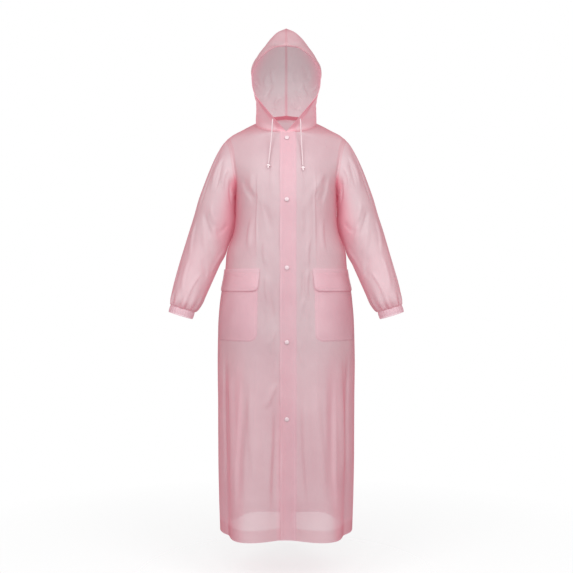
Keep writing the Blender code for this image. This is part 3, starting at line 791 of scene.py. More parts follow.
def film(name, pink, pale, glowing, clearing, solid, weld_shows):
    """Frosted film: cloudy and faintly crinkled, partly see-through, denser where it is seen along its surface and
    where it is doubled in a seam, with pale ribbed lines where it is welded. Painted shade makes it deep red and denser
    where a piece's marks ask for it, and it is rosier and denser where layers lie behind it and where painted shade is
    asked for. Light from behind makes it glow in its own colour, the more so where it is seen along its surface. solid
    is the share of what lies behind it that the film hides, and the rest is seen in the colour clearing."""
    made = bpy.data.materials.new(name)
    made.use_nodes = True
    tree = made.node_tree
    tree.nodes.clear()
    cloud = noise(tree, 7.0, 4.0)
    streak = noise(tree, 60.0, 3.0, (1, 1, 0.12))
    grain = noise(tree, 1400.0, 2.0)
    crinkle = noise(tree, 48.0, 5.0, (1, 1, 0.55), 0.62)
    weld = mapped(tree, maths(tree, "ABSOLUTE", mark(tree, "weld"), 0.0), 0.0007, 0.0015, 1.0, 0.0)
    doubled = mapped(tree, mark(tree, "seam"), 0.0070, 0.0080, 1.0, 0.0)
    painted_shade, layers_and_shade = mark(tree, "painted_shade"), mark(tree, "layers_and_shade")
    # Deeper red where film is doubled in a seam, and painted shade where the marks ask for it.
    deep = maths(tree, "ADD", times(tree, doubled, 0.20), times(tree, painted_shade, 0.90), True)

    colour = mixed(tree, mapped(tree, cloud, 0.35, 0.65, 0.0, 1.0), pink, pale)
    # Rosier for layers behind and as painted shade, then deep red for doubled seams and painted shade; the glow is
    # tinted the same way.
    colour = mixed(tree, layers_and_shade, colour, FILM_ROSY)
    colour = mixed(tree, deep, colour, FILM_DEEP)
    colour = mixed(tree, times(tree, weld, weld_shows), colour, WELD_PALE)
    through = mixed(tree, deep, mixed(tree, layers_and_shade, glowing, FILM_ROSY), FILM_DEEP)

    ridge = maths(tree, "ABSOLUTE", maths(tree, "SUBTRACT", crinkle, 0.5), 0.0)
    pressed = maths(tree, "MULTIPLY", weld, maths(tree, "ADD", times(tree, grain, 0.6), 0.2))
    height = times(tree, ridge, 0.0016)
    for value, scale in ((grain, 0.00010), (streak, 0.00018), (pressed, -0.0005), (doubled, 0.0002)):
        height = maths(tree, "ADD", height, times(tree, value, scale))
    bump = bumped(tree, height, 0.55, 1.0)

    inputs = {"Base Color": colour, "Roughness": mapped(tree, streak, 0.3, 0.7, 0.34, 0.50), "Normal": bump}
    inputs |= {"IOR": 1.48, "Sheen Weight": 0.12, "Sheen Roughness": 0.5}
    surface = node(tree, "BsdfPrincipled", inputs).outputs[0]
    glow = node(tree, "BsdfTranslucent", {"Color": through, "Normal": bump}).outputs[0]
    facing = node(tree, "LayerWeight", {"Blend": 0.32}).outputs["Facing"]
    glowing_share = maths(tree, "ADD", times(tree, facing, 0.50), 0.36, True)
    scatter = node(tree, "MixShader", {0: glowing_share, 1: surface, 2: glow}).outputs[0]

    clear = node(tree, "BsdfTransparent", {"Color": (*clearing, 1)}).outputs[0]
    share = times(tree, facing, 0.30)
    share = maths(tree, "ADD", share, mapped(tree, cloud, 0.3, 0.7, solid - 0.03, solid + 0.03))
    # Doubled seams, layers behind and painted shade make the film less see-through.
    for value, scale in ((weld, 0.25 * weld_shows), (doubled, 0.04), (layers_and_shade, 0.25), (painted_shade, 0.25)):
        share = maths(tree, "ADD", share, times(tree, value, scale), True)
    whole = node(tree, "MixShader", {0: share, 1: clear, 2: scatter}).outputs[0]
    node(tree, "OutputMaterial", {"Surface": whole})
    return made


def plain_finish(name, low, high, roughness, scale, bump_height):
    """A finish that isn't see-through, with a faint variation of colour and a fine surface."""
    made = bpy.data.materials.new(name)
    made.use_nodes = True
    tree = made.node_tree
    fine = noise(tree, scale, 3.0)
    inputs = {
        "Base Color": mixed(tree, noise(tree, scale / 6, 2.0), low, high),
        "Roughness": mapped(tree, fine, 0.3, 0.7, roughness - 0.06, roughness + 0.06),
        "Normal": bumped(tree, fine, 0.5, bump_height),
    }
    fed(tree, tree.nodes["Principled BSDF"], inputs)
    return made


# ---- camera and drawcord

CAMERA_DISTANCE = 3.0
CAMERA_HEIGHT = 0.749
CAMERA_X = 0.0009
CAMERA_LENS = 60.8


def camera():
    data = bpy.data.cameras.new("camera")
    data.lens = CAMERA_LENS
    data.sensor_width = 36.0
    obj = put("camera", data, (CAMERA_X, -CAMERA_DISTANCE, CAMERA_HEIGHT - ORIGIN_HEIGHT))
    obj.rotation_euler = (math.pi / 2, 0, 0)
    bpy.context.scene.camera = obj


def smooth_route(points, spacing):
    """Evenly spaced points on one smooth curve through the route's own points."""
    route = np.array(points)
    route = np.concatenate(([2 * route[0] - route[1]], route, [2 * route[-1] - route[-2]]))
    fine = []
    for a, b, c, d in zip(route, route[1:], route[2:], route[3:]):
        for t in np.linspace(0, 1, 12, endpoint=False):
            bend, twist = 2 * a - 5 * b + 4 * c - d, 3 * b - a - 3 * c + d
            fine.append(b + ((c - a) * t + bend * t**2 + twist * t**3) / 2)
    return refined(np.array(fine + [route[-2]]), spacing)


def frames_along(route):
    """Two directions square to a route at each of its points, turning as little as they can."""
    ways = unit(np.gradient(route, axis=0))
    side = unit(np.cross(ways[0], (0.3, 1.0, 0.2)))
    sides = []
    for way in ways:
        side = unit(side - way * np.dot(side, way))
        sides.append(side)
    sides = np.array(sides)
    return sides, np.cross(ways, sides)


def tube(route, radius, sides=18, strands=0, pitch=0.009, depth=0.13, closed=False):
    """A tube along a route, laid up of twisted strands, with its ends rounded over."""
    first, second = frames_along(route)
    far = along(route)
    angles = np.linspace(0, 2 * math.pi, sides, endpoint=False)
    rings = []
    for at, a, b, place in zip(route, first, second, far):
        twist = strands * (angles - 2 * math.pi * place / pitch) / 2
        swell = 1 + (depth / 2 - depth * (1 - np.abs(np.cos(twist)))) if strands else np.ones(sides)
        end = min(place, far[-1] - place) / radius
        round_over = 1.0 if closed or end > 1 else math.sqrt(max(0.0, 1 - (1 - end) ** 2))
        reach = radius * swell * max(round_over, 0.02)
        rings.append(at + reach[:, None] * (np.cos(angles)[:, None] * a + np.sin(angles)[:, None] * b))
    return np.array(rings)


def solid_tube(name, stands_for, tubes, finish):
    """A piece of several tubes, each capped at both ends."""
    shape = bmesh.new()
    for rings in tubes:
        points = [[shape.verts.new(point - (0, 0, ORIGIN_HEIGHT)) for point in ring] for ring in rings]
        for low, high in zip(points, points[1:]):
            for k in range(len(low)):
                n = (k + 1) % len(low)
                shape.faces.new((low[k], low[n], high[n], high[k]))
        shape.faces.new(points[0][::-1])
        shape.faces.new(points[-1])
    return placed(name, shape, stands_for, finish)


def drawcord(side, fibre, tied):
    """A free end of the cord, and the overhand knot that stops it."""
    name = SIDE_NAMES[side]
    route = smooth_route(CORD_ROUTES[side], 0.0010)
    rings = tube(route, CORD_DIAMETER / 2, strands=3)
    cord = solid_tube(f"drawcord_{name}_rope", f"drawcord_{name}", [rings], fibre)
    down = unit(route[-1] - route[-4])
    across = unit(np.cross(down, (1, 0.2, 0)))
    other = np.cross(down, across)
    t = np.linspace(0, 2 * math.pi, 120, endpoint=False)
    size = (KNOT_RADIUS - 0.0012) / 3
    loop = np.stack((np.sin(t) + 2 * np.sin(2 * t), np.cos(t) - 2 * np.cos(2 * t), -1.15 * np.sin(3 * t)), axis=1)
    loop = loop * size
    centre = route[-1] + down * KNOT_RADIUS * 0.95
    path = centre + loop[:, :1] * across + loop[:, 1:2] * other + loop[:, 2:] * down
    path = np.concatenate((path, path[:1]))
    knot = tube(path, STRAND_RADIUS, sides=12, strands=3, pitch=KNOT_PITCH, closed=True)
    tail_start = centre + down * 0.0015
    tail = np.array([tail_start + down * 0.0010 * k + across * 0.00006 * k * k for k in range(9)])
    ends = tube(tail, STRAND_RADIUS, sides=12, strands=3, pitch=KNOT_PITCH)
    knotted = solid_tube(f"cord_knot_{name}_tied", f"cord_knot_{name}", [knot, ends], tied)


# ---- the body's pieces

BODY_LEVELS = np.concatenate((np.linspace(0, 1, 205), np.linspace(1, 2, 61)[1:]))
BODY_SHARES = np.linspace(0, 1, 96)
BAND_LEVELS = BODY_LEVELS[BODY_LEVELS <= NECK_LEVEL + 1e-6]


def body_seams(face, side):
    """The side seam with the armhole, and the shoulder seam with the neck edge."""
    side_line = [body_line(face, level)[3] for level in BODY_LEVELS]
    turns = np.linspace(0, 1, 40)
    shoulder = bezier(body_line(face, 2), turns)[0]
    return [np.array(line) * (side, 1, 1) for line in (side_line, shoulder, neck(face, turns))]


def stripe(around, centre, half_width):
    return np.maximum(0.0, 1 - ((around - centre) / half_width) ** 2) ** 2


def panel_marks(grid, around, face, side):
    """Seams; the hem's sides rosier where its bands overlap; and painted shade: the skirt rosier low down, most at its
    sides and along a fold near each side, the upper sides rosier, and a painted shadow beside the snap band's free edge
    on the right front."""
    seam = nearest(grid, body_seams(face, side))
    z, far = grid[..., 2], np.abs(around)
    wander = 0.006 * np.sin(9 * z + 2 * side)
    low = ease((0.62 - z) / 0.20)
    # Painted shade: rosier low on the skirt, more so towards its sides and along a fold near each side.
    layers_and_shade = low * (0.13 + 0.14 * ease((far - 0.118) / 0.034) + 0.10 * stripe(far, 0.130 + wander, 0.020))
    layers_and_shade += 0.14 * ease((0.052 - z) / 0.010) * ease((far - 0.12) / 0.03)  # the hem's sides
    # Painted shade on the upper sides.
    layers_and_shade += 0.10 * ease((1.05 - z) / 0.1) * ease((far - 0.088) / 0.004) * ease((z - 0.60) / 0.1)  # the upper sides
    # Painted shade in deep red along a fold near each side and one near the centre of the skirt.
    deep = 0.05 * low * stripe(far, 0.131 + wander, 0.018) + 0.03 * low * stripe(far, 0.040 - wander, 0.016)
    # A painted shadow beside the snap band's free edge, on the right front.
    if face == FRONT and side == RIGHT:
        under = ease((0.033 - far) / 0.009) * ease((0.50 - z) / 0.16)
        layers_and_shade, deep = layers_and_shade + 0.14 * under, deep + 0.04 * under
    return {"seam": seam, "weld": seam - SEAM_WELD / 2, "layers_and_shade": layers_and_shade, "painted_shade": deep}


def body(finish):
    """Two fronts and a back."""

    def half(face, side):
        grid, around = laid(face, side, BODY_LEVELS, lambda level: BODY_SHARES, centred=face == BACK)
        return grid, panel_marks(grid, around, face, side)

    for side, name in SIDE_NAMES.items():
        piece(f"front_{name}", [half(FRONT, side)], finish)
    piece("back", [half(BACK, side) for side in SIDE_NAMES], finish)


def between_snaps(heights):
    """0 at each snap, rising to 1 half-way to the next."""
    away = np.min(np.abs(heights[:, None] - SNAP_HEIGHTS), axis=1)
    return ease((away - 0.006) / 0.075)


def front_bands(finish):
    """The snap band, sewn to the left front and loose along its other edge, and the right front's own band."""
    across = np.linspace(BAND_FREE, BAND_SEWN, 25)
    upper = (BAND_LEVELS - 1) / (NECK_LEVEL - 1) * (NECK_FRONT_HEIGHT - UNDERARM_HEIGHT)
    heights = np.where(BAND_LEVELS > 1, UNDERARM_HEIGHT + upper, BAND_LEVELS * UNDERARM_HEIGHT)
    sewn = ease((BAND_SEWN - across) / 0.006)
    loose = ease((SNAP_X - 0.006 - across) / 0.014)
    gape = between_snaps(heights)[:, None] * loose * (0.0026 + 0.0012 * np.sin(heights * 37))[:, None]
    lift = WELDED + (ON_PANEL - WELDED) * sewn + gape
    width = np.minimum(across - BAND_FREE, BAND_SEWN - across)
    piece("snap_band", [(laid_across(across, lift), {"weld": width - BAND_WELD})], finish)

    across = np.linspace(-UNDER_BAND, UNDER_BAND, 19)
    width = UNDER_BAND - np.abs(across)
    piece("under_band", [(laid_across(across, -ON_PANEL), {"weld": width - BAND_WELD})], finish)


def hem_bands(finish):
    """The hem, turned up inside each panel."""
    heights = np.concatenate((np.linspace(0, 0.006, 5), np.linspace(0.006, HEM_BAND, 12)[1:]))
    levels = heights / UNDERARM_HEIGHT
    turned_in = -(WELDED + 0.0012 * ease(heights / 0.004) * (1 - 0.6 * ease((heights - 0.024) / 0.008)))
    marks = {"weld": (HEM_BAND - 0.005 - heights)[:, None]}

    def half(face, side, shares_at):
        return laid(face, side, levels, shares_at, turned_in[:, None], centred=face == BACK)[0], marks

    def past_under_band(level):
        return np.linspace(share_at(UNDER_BAND, level), HEM_END, len(BODY_SHARES))

    for side, name in SIDE_NAMES.items():
        piece(f"hem_front_{name}", [half(FRONT, side, past_under_band)], finish)
    halves = [half(BACK, side, lambda level: BODY_SHARES * HEM_END) for side in SIDE_NAMES]
    piece("hem_back", halves, finish)


def patch(side, bottom, top, corner, inner_room, outer_room, lift_at, rows=64, columns=60):
    """A patch on half a front with rounded lower corners. inner_room(up) and outer_room(up) are how far it reaches
    past the pocket's lines at a share up of its height."""
    low_rows = bottom + corner * (1 - np.cos(np.linspace(0, 1, 14) * math.pi / 2))
    heights = np.concatenate((low_rows, np.linspace(bottom + corner, top, rows - 14 + 1)[1:]))
    across = np.linspace(0, 1, columns)
    shares = []
    for height in heights:
        level = height / UNDERARM_HEIGHT
        far = distances(FRONT, level)
        first = share_at(POCKET_INNER, level)
        last = first + (1 - first) * POCKET_OUTER
        up = (height - bottom) / (top - bottom)
        below = max(bottom + corner - height, 0.0)
        rounding = corner - math.sqrt(max(corner**2 - below**2, 0.0))
        start = np.interp(first, FINE, far) - inner_room(up) + rounding
        end = np.interp(last, FINE, far) + outer_room(up) - rounding
        shares.append(np.interp(start + (end - start) * across, far, FINE))

    def lifted(lift):
        rows_of = iter(shares)
        return laid(FRONT, side, heights / UNDERARM_HEIGHT, lambda level: next(rows_of), lift)[0]

    flat = lifted(0.0)
    edge = nearest(flat, [flat[:, 0], flat[:, -1], flat[0]])
    up = ((heights - bottom) / (top - bottom))[:, None]
    return lifted(lift_at(edge, up, across)), edge


def pockets(finish):
    """A patch pocket on each front, and the flap that hangs over its mouth."""

    def pocket_lift(edge, up, across):
        belly = np.sin(math.pi * np.clip(across, 0, 1)) ** 0.7 * (0.35 + 0.65 * ease(up * 1.6))
        folds = 0.0010 * np.sin(9 * across + 5 * up) * np.sin(7 * up + 3 * across) * ease(edge / 0.02)
        return WELDED + (ON_PANEL - WELDED) * ease(edge / 0.004) + 0.0034 * belly * ease(edge / 0.03) + folds

    def flap_lift(edge, up, across):
        hang = ease((1 - up) / 0.9)
        wave = 0.0007 * np.sin(7.3 * across + 1.2) + 0.0004 * np.sin(15 * across)
        hang = hang * (1 - 0.85 * ease((across - 0.55) / 0.45))
        return ON_POCKET + (0.0034 + 0.0040 * np.maximum(0, np.sin(math.pi * across)) ** 0.6 + wave) * hang

    for side, name in SIDE_NAMES.items():
        grid, edge = patch(
            side, POCKET_BOTTOM, POCKET_TOP, POCKET_CORNER, lambda up: 0.0, lambda up: 0.0, pocket_lift
        )
        piece(f"pocket_{name}", [(grid, {"weld": edge - POCKET_WELD})], finish)
        grid, edge = patch(
            side, FLAP_BOTTOM, FLAP_TOP, FLAP_CORNER, lambda up: 0.002 + 0.006 * up, lambda up: 0.004, flap_lift,
            rows=44,
        )
        top = FLAP_TOP - grid[..., 2]
        weld = np.minimum(np.abs(edge - FLAP_WELD), np.abs(top - 0.006))
        piece(f"pocket_flap_{name}", [(grid, {"weld": weld})], finish)


# ---- sleeves and cuffs

SLEEVE_TURNS = np.linspace(0, 1, 156, endpoint=False)
TOUCHING = 0.0005  # between the upper arm and the body


def uneven_wave(angles, count, place):
    """A wave round a ring whose folds differ in width and height."""
    drift = 0.55 * np.sin(2 * angles + 0.4) + 0.35 * np.sin(3 * angles + 1.1 + 0.2 * place)
    height = 1 + 0.32 * np.sin(5 * angles + 0.7) + 0.22 * np.sin(3 * angles + 2.0)
    return height * np.cos(count * angles + drift)


def sleeve_section(place):
    """The sleeve table's values at a row, the middle there, and the way from it to the outer side."""
    at = {name: float(read(SLEEVE, name, "row", place)) for name in SLEEVE}
    outer = np.array((at["outer_x"], at["centre_y"], at["outer_z"]))
    inner = np.array((at["inner_x"], at["centre_y"], at["inner_z"]))
    return at, (outer + inner) / 2, (outer - inner) / 2


def sleeve_ring(place, turns):
    at, middle, reach = sleeve_section(place)
    angles = turns * 2 * math.pi
    wave = at["gather"] * uneven_wave(angles, SLEEVE_GATHERS, place)
    wave += 0.45 * at["gather"] * ease((place - 12) / 2) * uneven_wave(angles + 0.5, CUFF_GATHERS, place)
    ring = middle - reach * (np.cos(angles) * (1 + wave / np.linalg.norm(reach)))[:, None]
    ring[:, 1] -= (at["half_depth"] + wave) * np.sin(angles)
    edge = armhole_edge(turns)
    rise = (edge[:, 2] - UNDERARM_HEIGHT) / (SHOULDER_TIP_HEIGHT - UNDERARM_HEIGHT)
    bend = edge[:, 0] - (SLEEVE["inner_x"][0] + rise * ARMHOLE_LEAN)
    ring[:, 0] += bend * max(0.0, 1 - place / ARMHOLE_RINGS) ** 2
    return ring


def armhole_edge(turns):
    front = armhole(FRONT, np.minimum(2 * turns, 1))
    back = armhole(BACK, np.minimum(2 - 2 * turns, 1))
    return np.where((turns <= 0.5)[:, None], front, back)


def sleeves(finish):
    places = np.concatenate((np.linspace(0, 11, 130), np.linspace(11, SLEEVE_ROWS, 66)[1:]))
    start = armhole_edge(SLEEVE_TURNS) - sleeve_ring(0, SLEEVE_TURNS)
    plain = np.array([sleeve_ring(p, SLEEVE_TURNS) + start * max(0.0, 1 - p) ** 2 for p in places])
    turns, rows = np.meshgrid(SLEEVE_TURNS, places)
    free = ease(rows / 0.9) * ease((SLEEVE_ROWS - rows) / 1.2)
    inner_x, inner_z = (read(SLEEVE, name, "row", rows) for name in ("inner_x", "inner_z"))
    pressed = np.maximum(0.0, inner_x - read(SIDE, "half_width", "height", inner_z) - TOUCHING)
    # Painted shade under the arm, where the film is also crushed together.
    painted_shade = np.zeros_like(turns)
    for turn, row, turn_radius, row_radius, strength in zip(*UNDERARM_SHADE.values()):
        for centre in (turn, 1 - turn):
            gap = np.abs((turns - centre + 0.5) % 1 - 0.5) / turn_radius
            spot = np.maximum(0.0, 1 - gap**2 - ((rows - row) / row_radius) ** 2)
            painted_shade = np.maximum(painted_shade, strength * ease(spot))
    inner = np.minimum(turns, 1 - turns)  # 0 at the underarm seam, 0.5 at the top
    # Rosier on the inner side next to the body, partly for layers seen through each other and partly as painted shade,
    # and rosier towards the cuff.
    layers_and_shade = 0.62 * ease((0.29 - inner) / 0.20) * ease((8.8 - rows) / 3.0)
    layers_and_shade = np.maximum(layers_and_shade, 0.34 * ease((0.22 - inner) / 0.14) * ease((13.0 - rows) / 3.0))
    layers_and_shade = np.maximum(layers_and_shade, 0.16 * ease((rows - 11.6) / 1.6) + 0.16 * ease((rows - 6.0) / 3.0))
    # Painted shade on the inner side of the upper sleeve, next to the body.
    painted_shade = np.maximum(painted_shade, 0.25 * ease((0.24 - inner) / 0.14) * ease((8.6 - rows) / 3.0))
    for side, name in SIDE_NAMES.items():
        shifted = rows * SLEEVE_ROW + (0.006 if side == LEFT else 0.0)
        push = crease_push(SLEEVE_CREASES, turns * SLEEVE_GIRTH, shifted)
        push += ripple(turns * SLEEVE_GIRTH, shifted, 2.0 + side)
        push = push * free * ease(inner / 0.09)
        push += pressed * ease((0.120 - inner) / 0.10) * ease((rows - 0.2) / 0.6) * ease((8.5 - rows) / 1.3)
        grid = plain + normals_of(plain, None, ring=True) * push[..., None]
        grid = rounded_shoulder(grid) * (side, 1, 1)
        seam = nearest(grid, [np.concatenate((grid[0], grid[0, :1])), grid[:, 0]])
        marks = {"seam": seam, "weld": seam - SEAM_WELD / 2, "painted_shade": painted_shade, "layers_and_shade": layers_and_shade}
        piece(f"sleeve_{name}", [(grid, marks)], finish, ring=True)


def cuffs(finish):
    """A gathered tube over an elastic at each wrist, a little fuller between its four rows of stitches."""
    at, middle, reach = sleeve_section(SLEEVE_ROWS)
    down = unit((reach[2], 0, -reach[0]))
    turns = np.linspace(0, 1, 312, endpoint=False)
    angles = turns * 2 * math.pi
    steps = np.linspace(0, CUFF_HEIGHT, 25)
    stitched = np.abs(np.sin(3 * math.pi * (steps - 0.002) / (CUFF_HEIGHT - 0.004)))
    rings = []
    for step, puff in zip(steps, stitched):
        size = 1 + 0.035 * math.sin(math.pi * step / CUFF_HEIGHT) ** 0.6
        wave = CUFF_WAVE * (0.75 + 0.5 * puff) * uneven_wave(angles, CUFF_GATHERS, 40 * step) + 0.0001 * puff
        ring = middle + down * step - unit(reach) * ((size * np.linalg.norm(reach) + wave) * np.cos(angles))[:, None]
        ring[:, 1] -= (size * at["half_depth"] + wave) * np.sin(angles)
        rings.append(ring)
    for side, name in SIDE_NAMES.items():
        piece(f"cuff_{name}", [(np.array(rings) * (side, 1, 1), {"layers_and_shade": CUFF_ROSY})], finish, ring=True)


# ---- hood

HOOD_ROWS = np.concatenate((np.linspace(0, 1, 15), np.linspace(1, 13, 120)[1:], np.linspace(13, 14, 12)[1:]))
HOOD_SHARES = np.linspace(0, 2, 110)


def hood_line(row, shares):
    """Points of a hood line on the wearer's left: the rim or ridge at 0, the side at 1 and the back seam at 2."""
    at = {name: float(read(HOOD, name, "row", row)) for name in HOOD}
    front_x = 0.0 if row >= RIM_TOP_ROW else max(0.0, at["front_x"])
    front = np.array((front_x, at["front_y"], at["front_z"]))
    side = np.array((at["side_x"], at["side_y"], at["side_z"]))
    back = np.array((0, at["back_y"], at["back_z"]))
    to_side, to_back = side - front, back - side
    first = (front, front + to_side * HOOD_CHEEK[0], side - to_side * HOOD_CHEEK[1], side)
    second = (side, side + to_back * HOOD_BACK[0], back - to_back * HOOD_BACK[1], back)
    near = bezier(first, np.clip(shares, 0, 1))[0]
    beyond = bezier(second, np.clip(shares - 1, 0, 1))[0]
    return np.where((shares <= 1)[:, None], near, beyond)


def hood_row(row, shares):
    """A hood line, bent to meet the body's neck edge at row 0."""
    line = hood_line(row, shares)
    if row < 1:
        front, back = neck(FRONT, np.minimum(shares, 1)), neck(BACK, np.minimum(2 - shares, 1))
        edge = np.where((shares <= 1)[:, None], front, back)
        line = line + (edge - hood_line(0, shares)) * (1 - row) ** 2
    return line


def hood_surface(side, rows, shares_at, lift=0.0):
    """Points of a piece of half the hood, creased as it is, and moved out by lift."""
    shares = np.array([shares_at(row) for row in rows])
    grid = np.array([hood_row(row, own) for row, own in zip(rows, shares)])
    out = normals_of(grid, HOOD_HOLLOW)
    out[grid[..., 0] < 1e-6, 0] = 0
    out = unit(out)
    x, y, z = side * grid[..., 0], grid[..., 1], grid[..., 2]
    push = crease_push(HOOD_BACK_CREASES, x, z) * ease((y - 0.02) / 0.03)
    push += crease_push(HOOD_SIDE_CREASES, y, z + 0.006 * side) * ease((np.abs(x) - 0.045) / 0.03)
    push += 1.3 * ripple(x + y, z, 5.0 + side)
    free = ease(shares / 0.10) * ease((2 - shares) / 0.10) * ease(rows / 0.8)[:, None]
    free = free * ease((PEAK_ROW - rows) / 2)[:, None]
    return (grid + out * (push * free + lift)[..., None]) * (side, 1, 1)


def hood_seams(side):
    turns = np.linspace(0, 2, 60)
    ends = [hood_row(row, np.array((0.0, 2.0))) for row in HOOD_ROWS]
    ridge = np.array([end[0] for row, end in zip(HOOD_ROWS, ends) if row >= RIM_TOP_ROW])
    back = np.array([end[1] for end in ends])
    return [line * (side, 1, 1) for line in (ridge, back, hood_row(0, turns))]


def hood(finish, trim, dense):
    """Two halves welded over the head and down the back, the casing inside the rim, and the back neck tape."""
    for side, name in SIDE_NAMES.items():
        grid = hood_surface(side, HOOD_ROWS, lambda row: HOOD_SHARES)
        seam = nearest(grid, hood_seams(side)) + 0.0035
        rim = nearest(grid, [grid[HOOD_ROWS <= RIM_TOP_ROW, 0]])
        rows, shares = HOOD_ROWS[:, None], HOOD_SHARES[None, :]
        weld = np.minimum(np.abs(seam - 0.0065), np.abs(rim - CASING_WIDTH + CASING_WELD)) + 0.0006
        casing = ease((CASING_WIDTH - rim) / 0.0015)
        # The whole casing band along the upper rim is painted pale, partly for the casing seen through the film and
        # partly as a painted highlight along the rim's fold.
        weld = np.where((rim < CASING_WIDTH) & (rows > 7.5), np.minimum(weld, 0.0009), weld)
        # Rosier where the film is doubled in the casing and the back seam, and on the cheeks, sides, nape and crown,
        # partly for layers seen through each other and partly as painted shade inside the hood.
        layers_and_shade = sum((
            0.24 * casing * ease((8.0 - rows) / 2.0),
            0.40 * ease((5.2 - rows) / 2.5) * ease((1.05 - shares) / 0.30),  # the cheeks
            0.14 * ease((4.6 - rows) / 2.0) * ease((shares - 1.15) / 0.3),  # the nape
            0.40 * ease(1 - np.abs(shares - 1.12) / 0.48) * ease((rows - 4.0) / 1.5) * ease((11 - rows) / 2),  # sides
            0.16 * ease((rows - 10.5) / 1.5),  # the crown
            0.25 * ease((0.0075 - seam) / 0.001) * ease((shares - 1.7) / 0.1),  # the back seam
        ))
        marks = {"seam": seam, "weld": weld, "layers_and_shade": layers_and_shade}
        piece(f"hood_{name}", [(grid, marks)], finish)

        rows = np.linspace(0.25, RIM_TOP_ROW, 110)
        widths = CASING_WIDTH * np.linspace(0, 1, 14) ** 1.2

        def casing_shares(row):
            fine = np.linspace(0, 1, 80)
            return np.interp(widths, along(hood_row(row, fine)), fine)

        puff = ease(widths / 0.002) * (1 - 0.7 * ease((widths - 0.014) / 0.006))
        lift = -(WELDED + 0.0016 * puff) * (widths > 0)
        grid = hood_surface(side, rows, casing_shares, lift)
        marks = {"weld": CASING_WIDTH - CASING_WELD - widths, "layers_and_shade": 0.35 * ease((8.5 - rows[:, None]) / 3.0)}
        piece(f"hood_casing_{name}", [(grid, marks)], trim)
    rows, shares = np.linspace(0.06, 0.94, 12), np.linspace(1.25, 2, 44)
    halves = [(hood_surface(side, rows, lambda row: shares, -ON_PANEL), {}) for side in SIDE_NAMES]
    piece("neck_tape", halves, dense)


# ---- snaps


def front_surface(x, height):
    """A point of the front near its centre, and the way out there."""

    def at(height):
        level = height / UNDERARM_HEIGHT
        if level > 1:
            level = 1 + (NECK_LEVEL - 1) * (height - UNDERARM_HEIGHT) / (NECK_FRONT_HEIGHT - UNDERARM_HEIGHT)
        return body_row(FRONT, LEFT, level, np.array([share_at(x, level)]))[0][0]

    rise = at(height + 0.01) - at(height - 0.01)
    return at(height), unit((0, -rise[2], rise[1]))


# Radius as a share of the cap's, and height above its flat back in metres.
CAP_PROFILE = (
    (0.00, -0.0011), (0.62, -0.0011), (0.70, -0.0009), (0.74, -0.0003), (0.90, -0.0001), (0.97, 0.0002),
    (1.00, 0.0006), (0.995, 0.0010), (0.96, 0.0013), (0.90, 0.00145), (0.86, 0.00142), (0.83, 0.0015),
    (0.74, 0.00195), (0.60, 0.00232), (0.42, 0.00252), (0.22, 0.0026), (0.10, 0.00258), (0.06, 0.0024),
    (0.00, 0.00236),
)


def snaps(plastic):
    """Moulded caps with a rolled rim, a low dome and the small pit where the tool held them."""
    for index, height in enumerate(SNAP_HEIGHTS, start=1):
        at, out = front_surface(SNAP_X, height)
        at = at + out * STAND - (0, 0, ORIGIN_HEIGHT)
        turn = Vector(out).to_track_quat("Z", "Y").to_matrix().to_4x4()
        turn.translation = Vector(at)
        shape = bmesh.new()
        points = [shape.verts.new((SNAP_RADIUS * radius, 0, rise)) for radius, rise in CAP_PROFILE]
        edges = [shape.edges.new(pair) for pair in zip(points, points[1:])]
        bmesh.ops.spin(
            shape, geom=points + edges, cent=(0, 0, 0), axis=(0, 0, 1), angle=2 * math.pi, steps=48, use_merge=True
        )
        bmesh.ops.remove_doubles(shape, verts=shape.verts, dist=1e-6)
        bmesh.ops.transform(shape, matrix=turn, verts=shape.verts)
        placed(f"snap_{index}_cap", shape, f"snap_{index}", plastic)


# ---- studio

FLOOR_DROP = 0.14
FLOOR_RADIUS = 2.6
FLOOR_ALPHA = 0.30  # in its middle
FLOOR_FADE = (0.30, 1.5)  # from the middle, where the fading starts and ends
BACKDROP_LIGHT = 0.55
WHITE = (1, 1, 1, 1)
SOFTBOX_AIM = (0, 0, 0.05)
# Where each softbox is, its size and its power.
SOFTBOXES = {
    "softbox_left": ((-1.5, -2.3, 1.05), (1.4, 1.6), 43),
    "softbox_right": ((1.5, -2.3, 1.05), (1.4, 1.6), 43),
    "softbox_front": ((0, -2.7, 0.8), (1.0, 0.8), 26),
}


def floor():
    """A pale floor that fades into the white of the backdrop."""
    mesh = bpy.data.meshes.new("floor")
    shape = bmesh.new()
    bmesh.ops.create_circle(shape, cap_ends=True, radius=FLOOR_RADIUS, segments=96)
    shape.to_mesh(mesh)
    shape.free()
    made = bpy.data.materials.new("pale_floor")
    made.use_nodes = True
    tree = made.node_tree
    surface = tree.nodes["Principled BSDF"]
    fed(tree, surface, {"Base Color": (0.95, 0.95, 0.95, 1), "Roughness": 0.9, "Specular IOR Level": 0.0})
    far = node(tree, "VectorMath", {0: node(tree, "TexCoord").outputs["Object"]})
    far.operation = "LENGTH"
    fed(tree, surface, {"Alpha": mapped(tree, far.outputs["Value"], *FLOOR_FADE, FLOOR_ALPHA, 0.0)})
    mesh.materials.append(made)
    obj = put("floor", mesh, (0, 0, -ORIGIN_HEIGHT - FLOOR_DROP))


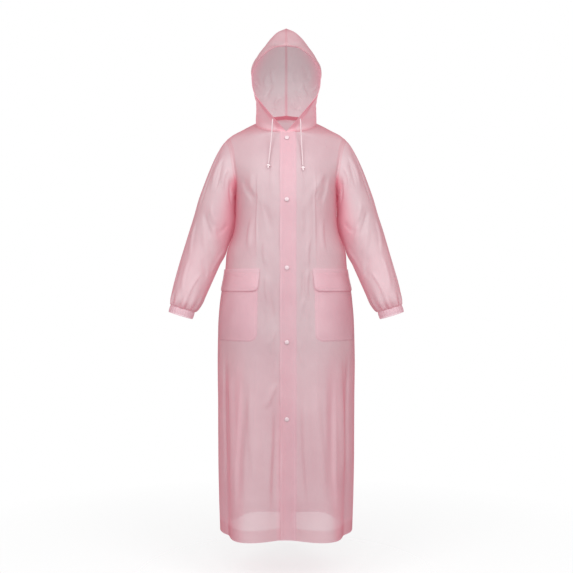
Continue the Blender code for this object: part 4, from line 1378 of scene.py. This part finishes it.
def studio():
    """A white backdrop all round, dimmer to the coat than to the camera, and three large lights in front."""
    world = bpy.data.worlds.new("studio")
    bpy.context.scene.world = world
    world.use_nodes = True
    tree = world.node_tree
    tree.nodes.clear()
    seen = node(tree, "Background", {"Strength": 1.0, "Color": WHITE}).outputs[0]
    lit = node(tree, "Background", {"Strength": BACKDROP_LIGHT, "Color": WHITE}).outputs[0]
    both = node(tree, "MixShader", {0: node(tree, "LightPath").outputs["Is Camera Ray"], 1: lit, 2: seen})
    node(tree, "OutputWorld", {"Surface": both.outputs[0]})
    for name, (at, size, power) in SOFTBOXES.items():
        data = bpy.data.lights.new(name, "AREA")
        data.shape = "RECTANGLE"
        data.size, data.size_y = size
        data.energy = power
        obj = put(name, data, at)
        obj.rotation_mode = "QUATERNION"
        obj.rotation_quaternion = (Vector(SOFTBOX_AIM) - Vector(at)).to_track_quat("-Z", "Y")
    bpy.context.scene.view_settings.view_transform = "Standard"
    bpy.context.scene.view_settings.look = "None"


GREY, PINK = (0.56, 0.53, 0.54), (0.95, 0.82, 0.86)
# The film's pink and pale clouds, its glow, the colour of what is seen through it, the share of that which it hides,
# and how far its weld lines show.
FILMS = {
    "frosted_film": ((0.710, 0.590, 0.625), (0.735, 0.655, 0.680), (0.940, 0.420, 0.500), GREY, 0.72, 0.08),
    "frosted_film_sleeve": ((0.740, 0.620, 0.655), (0.770, 0.690, 0.715), (0.960, 0.520, 0.590), GREY, 0.72, 0.08),
    # The hood's copy of the film is greyer and clearer: painted light for the lit inside of the hood.
    "frosted_film_hood_painted_light": (
        (0.700, 0.640, 0.655), (0.745, 0.700, 0.710), (0.900, 0.460, 0.530), (0.62, 0.67, 0.67), 0.72, 0.45
    ),
    "frosted_film_trim": ((0.780, 0.610, 0.665), (0.800, 0.660, 0.705), (0.920, 0.480, 0.560), PINK, 0.62, 0.12),
    # The tape's deep red is partly its own doubled film and partly painted shade at the back of the neck.
    "frosted_film_tape_and_shade": ((0.640, 0.200, 0.265), (0.680, 0.240, 0.300), (0.660, 0.140, 0.200), PINK, 0.85, 0.0),
}


def main():
    fibre = plain_finish("white_cord_fibre", (0.55, 0.41, 0.435), (0.63, 0.49, 0.515), 0.72, 1600.0, 0.00012)
    # The knot has a lighter copy of the cord's finish: painted light over the shade between its strands.
    tied = plain_finish("white_cord_knot_painted_lighter", (0.78, 0.66, 0.68), (0.84, 0.72, 0.74), 0.72, 1600.0, 0.00012)
    plastic = plain_finish("white_snap_plastic", (0.56, 0.43, 0.46), (0.62, 0.50, 0.53), 0.26, 900.0, 0.00003)
    camera()
    for side in (RIGHT, LEFT):
        drawcord(side, fibre, tied)
    panels, arms, crown, trim, tape = [film(name, *values) for name, values in FILMS.items()]
    body(panels)
    front_bands(trim)
    hem_bands(trim)
    pockets(trim)
    sleeves(arms)
    cuffs(trim)
    hood(crown, trim, tape)
    snaps(plastic)
    floor()
    studio()


main()
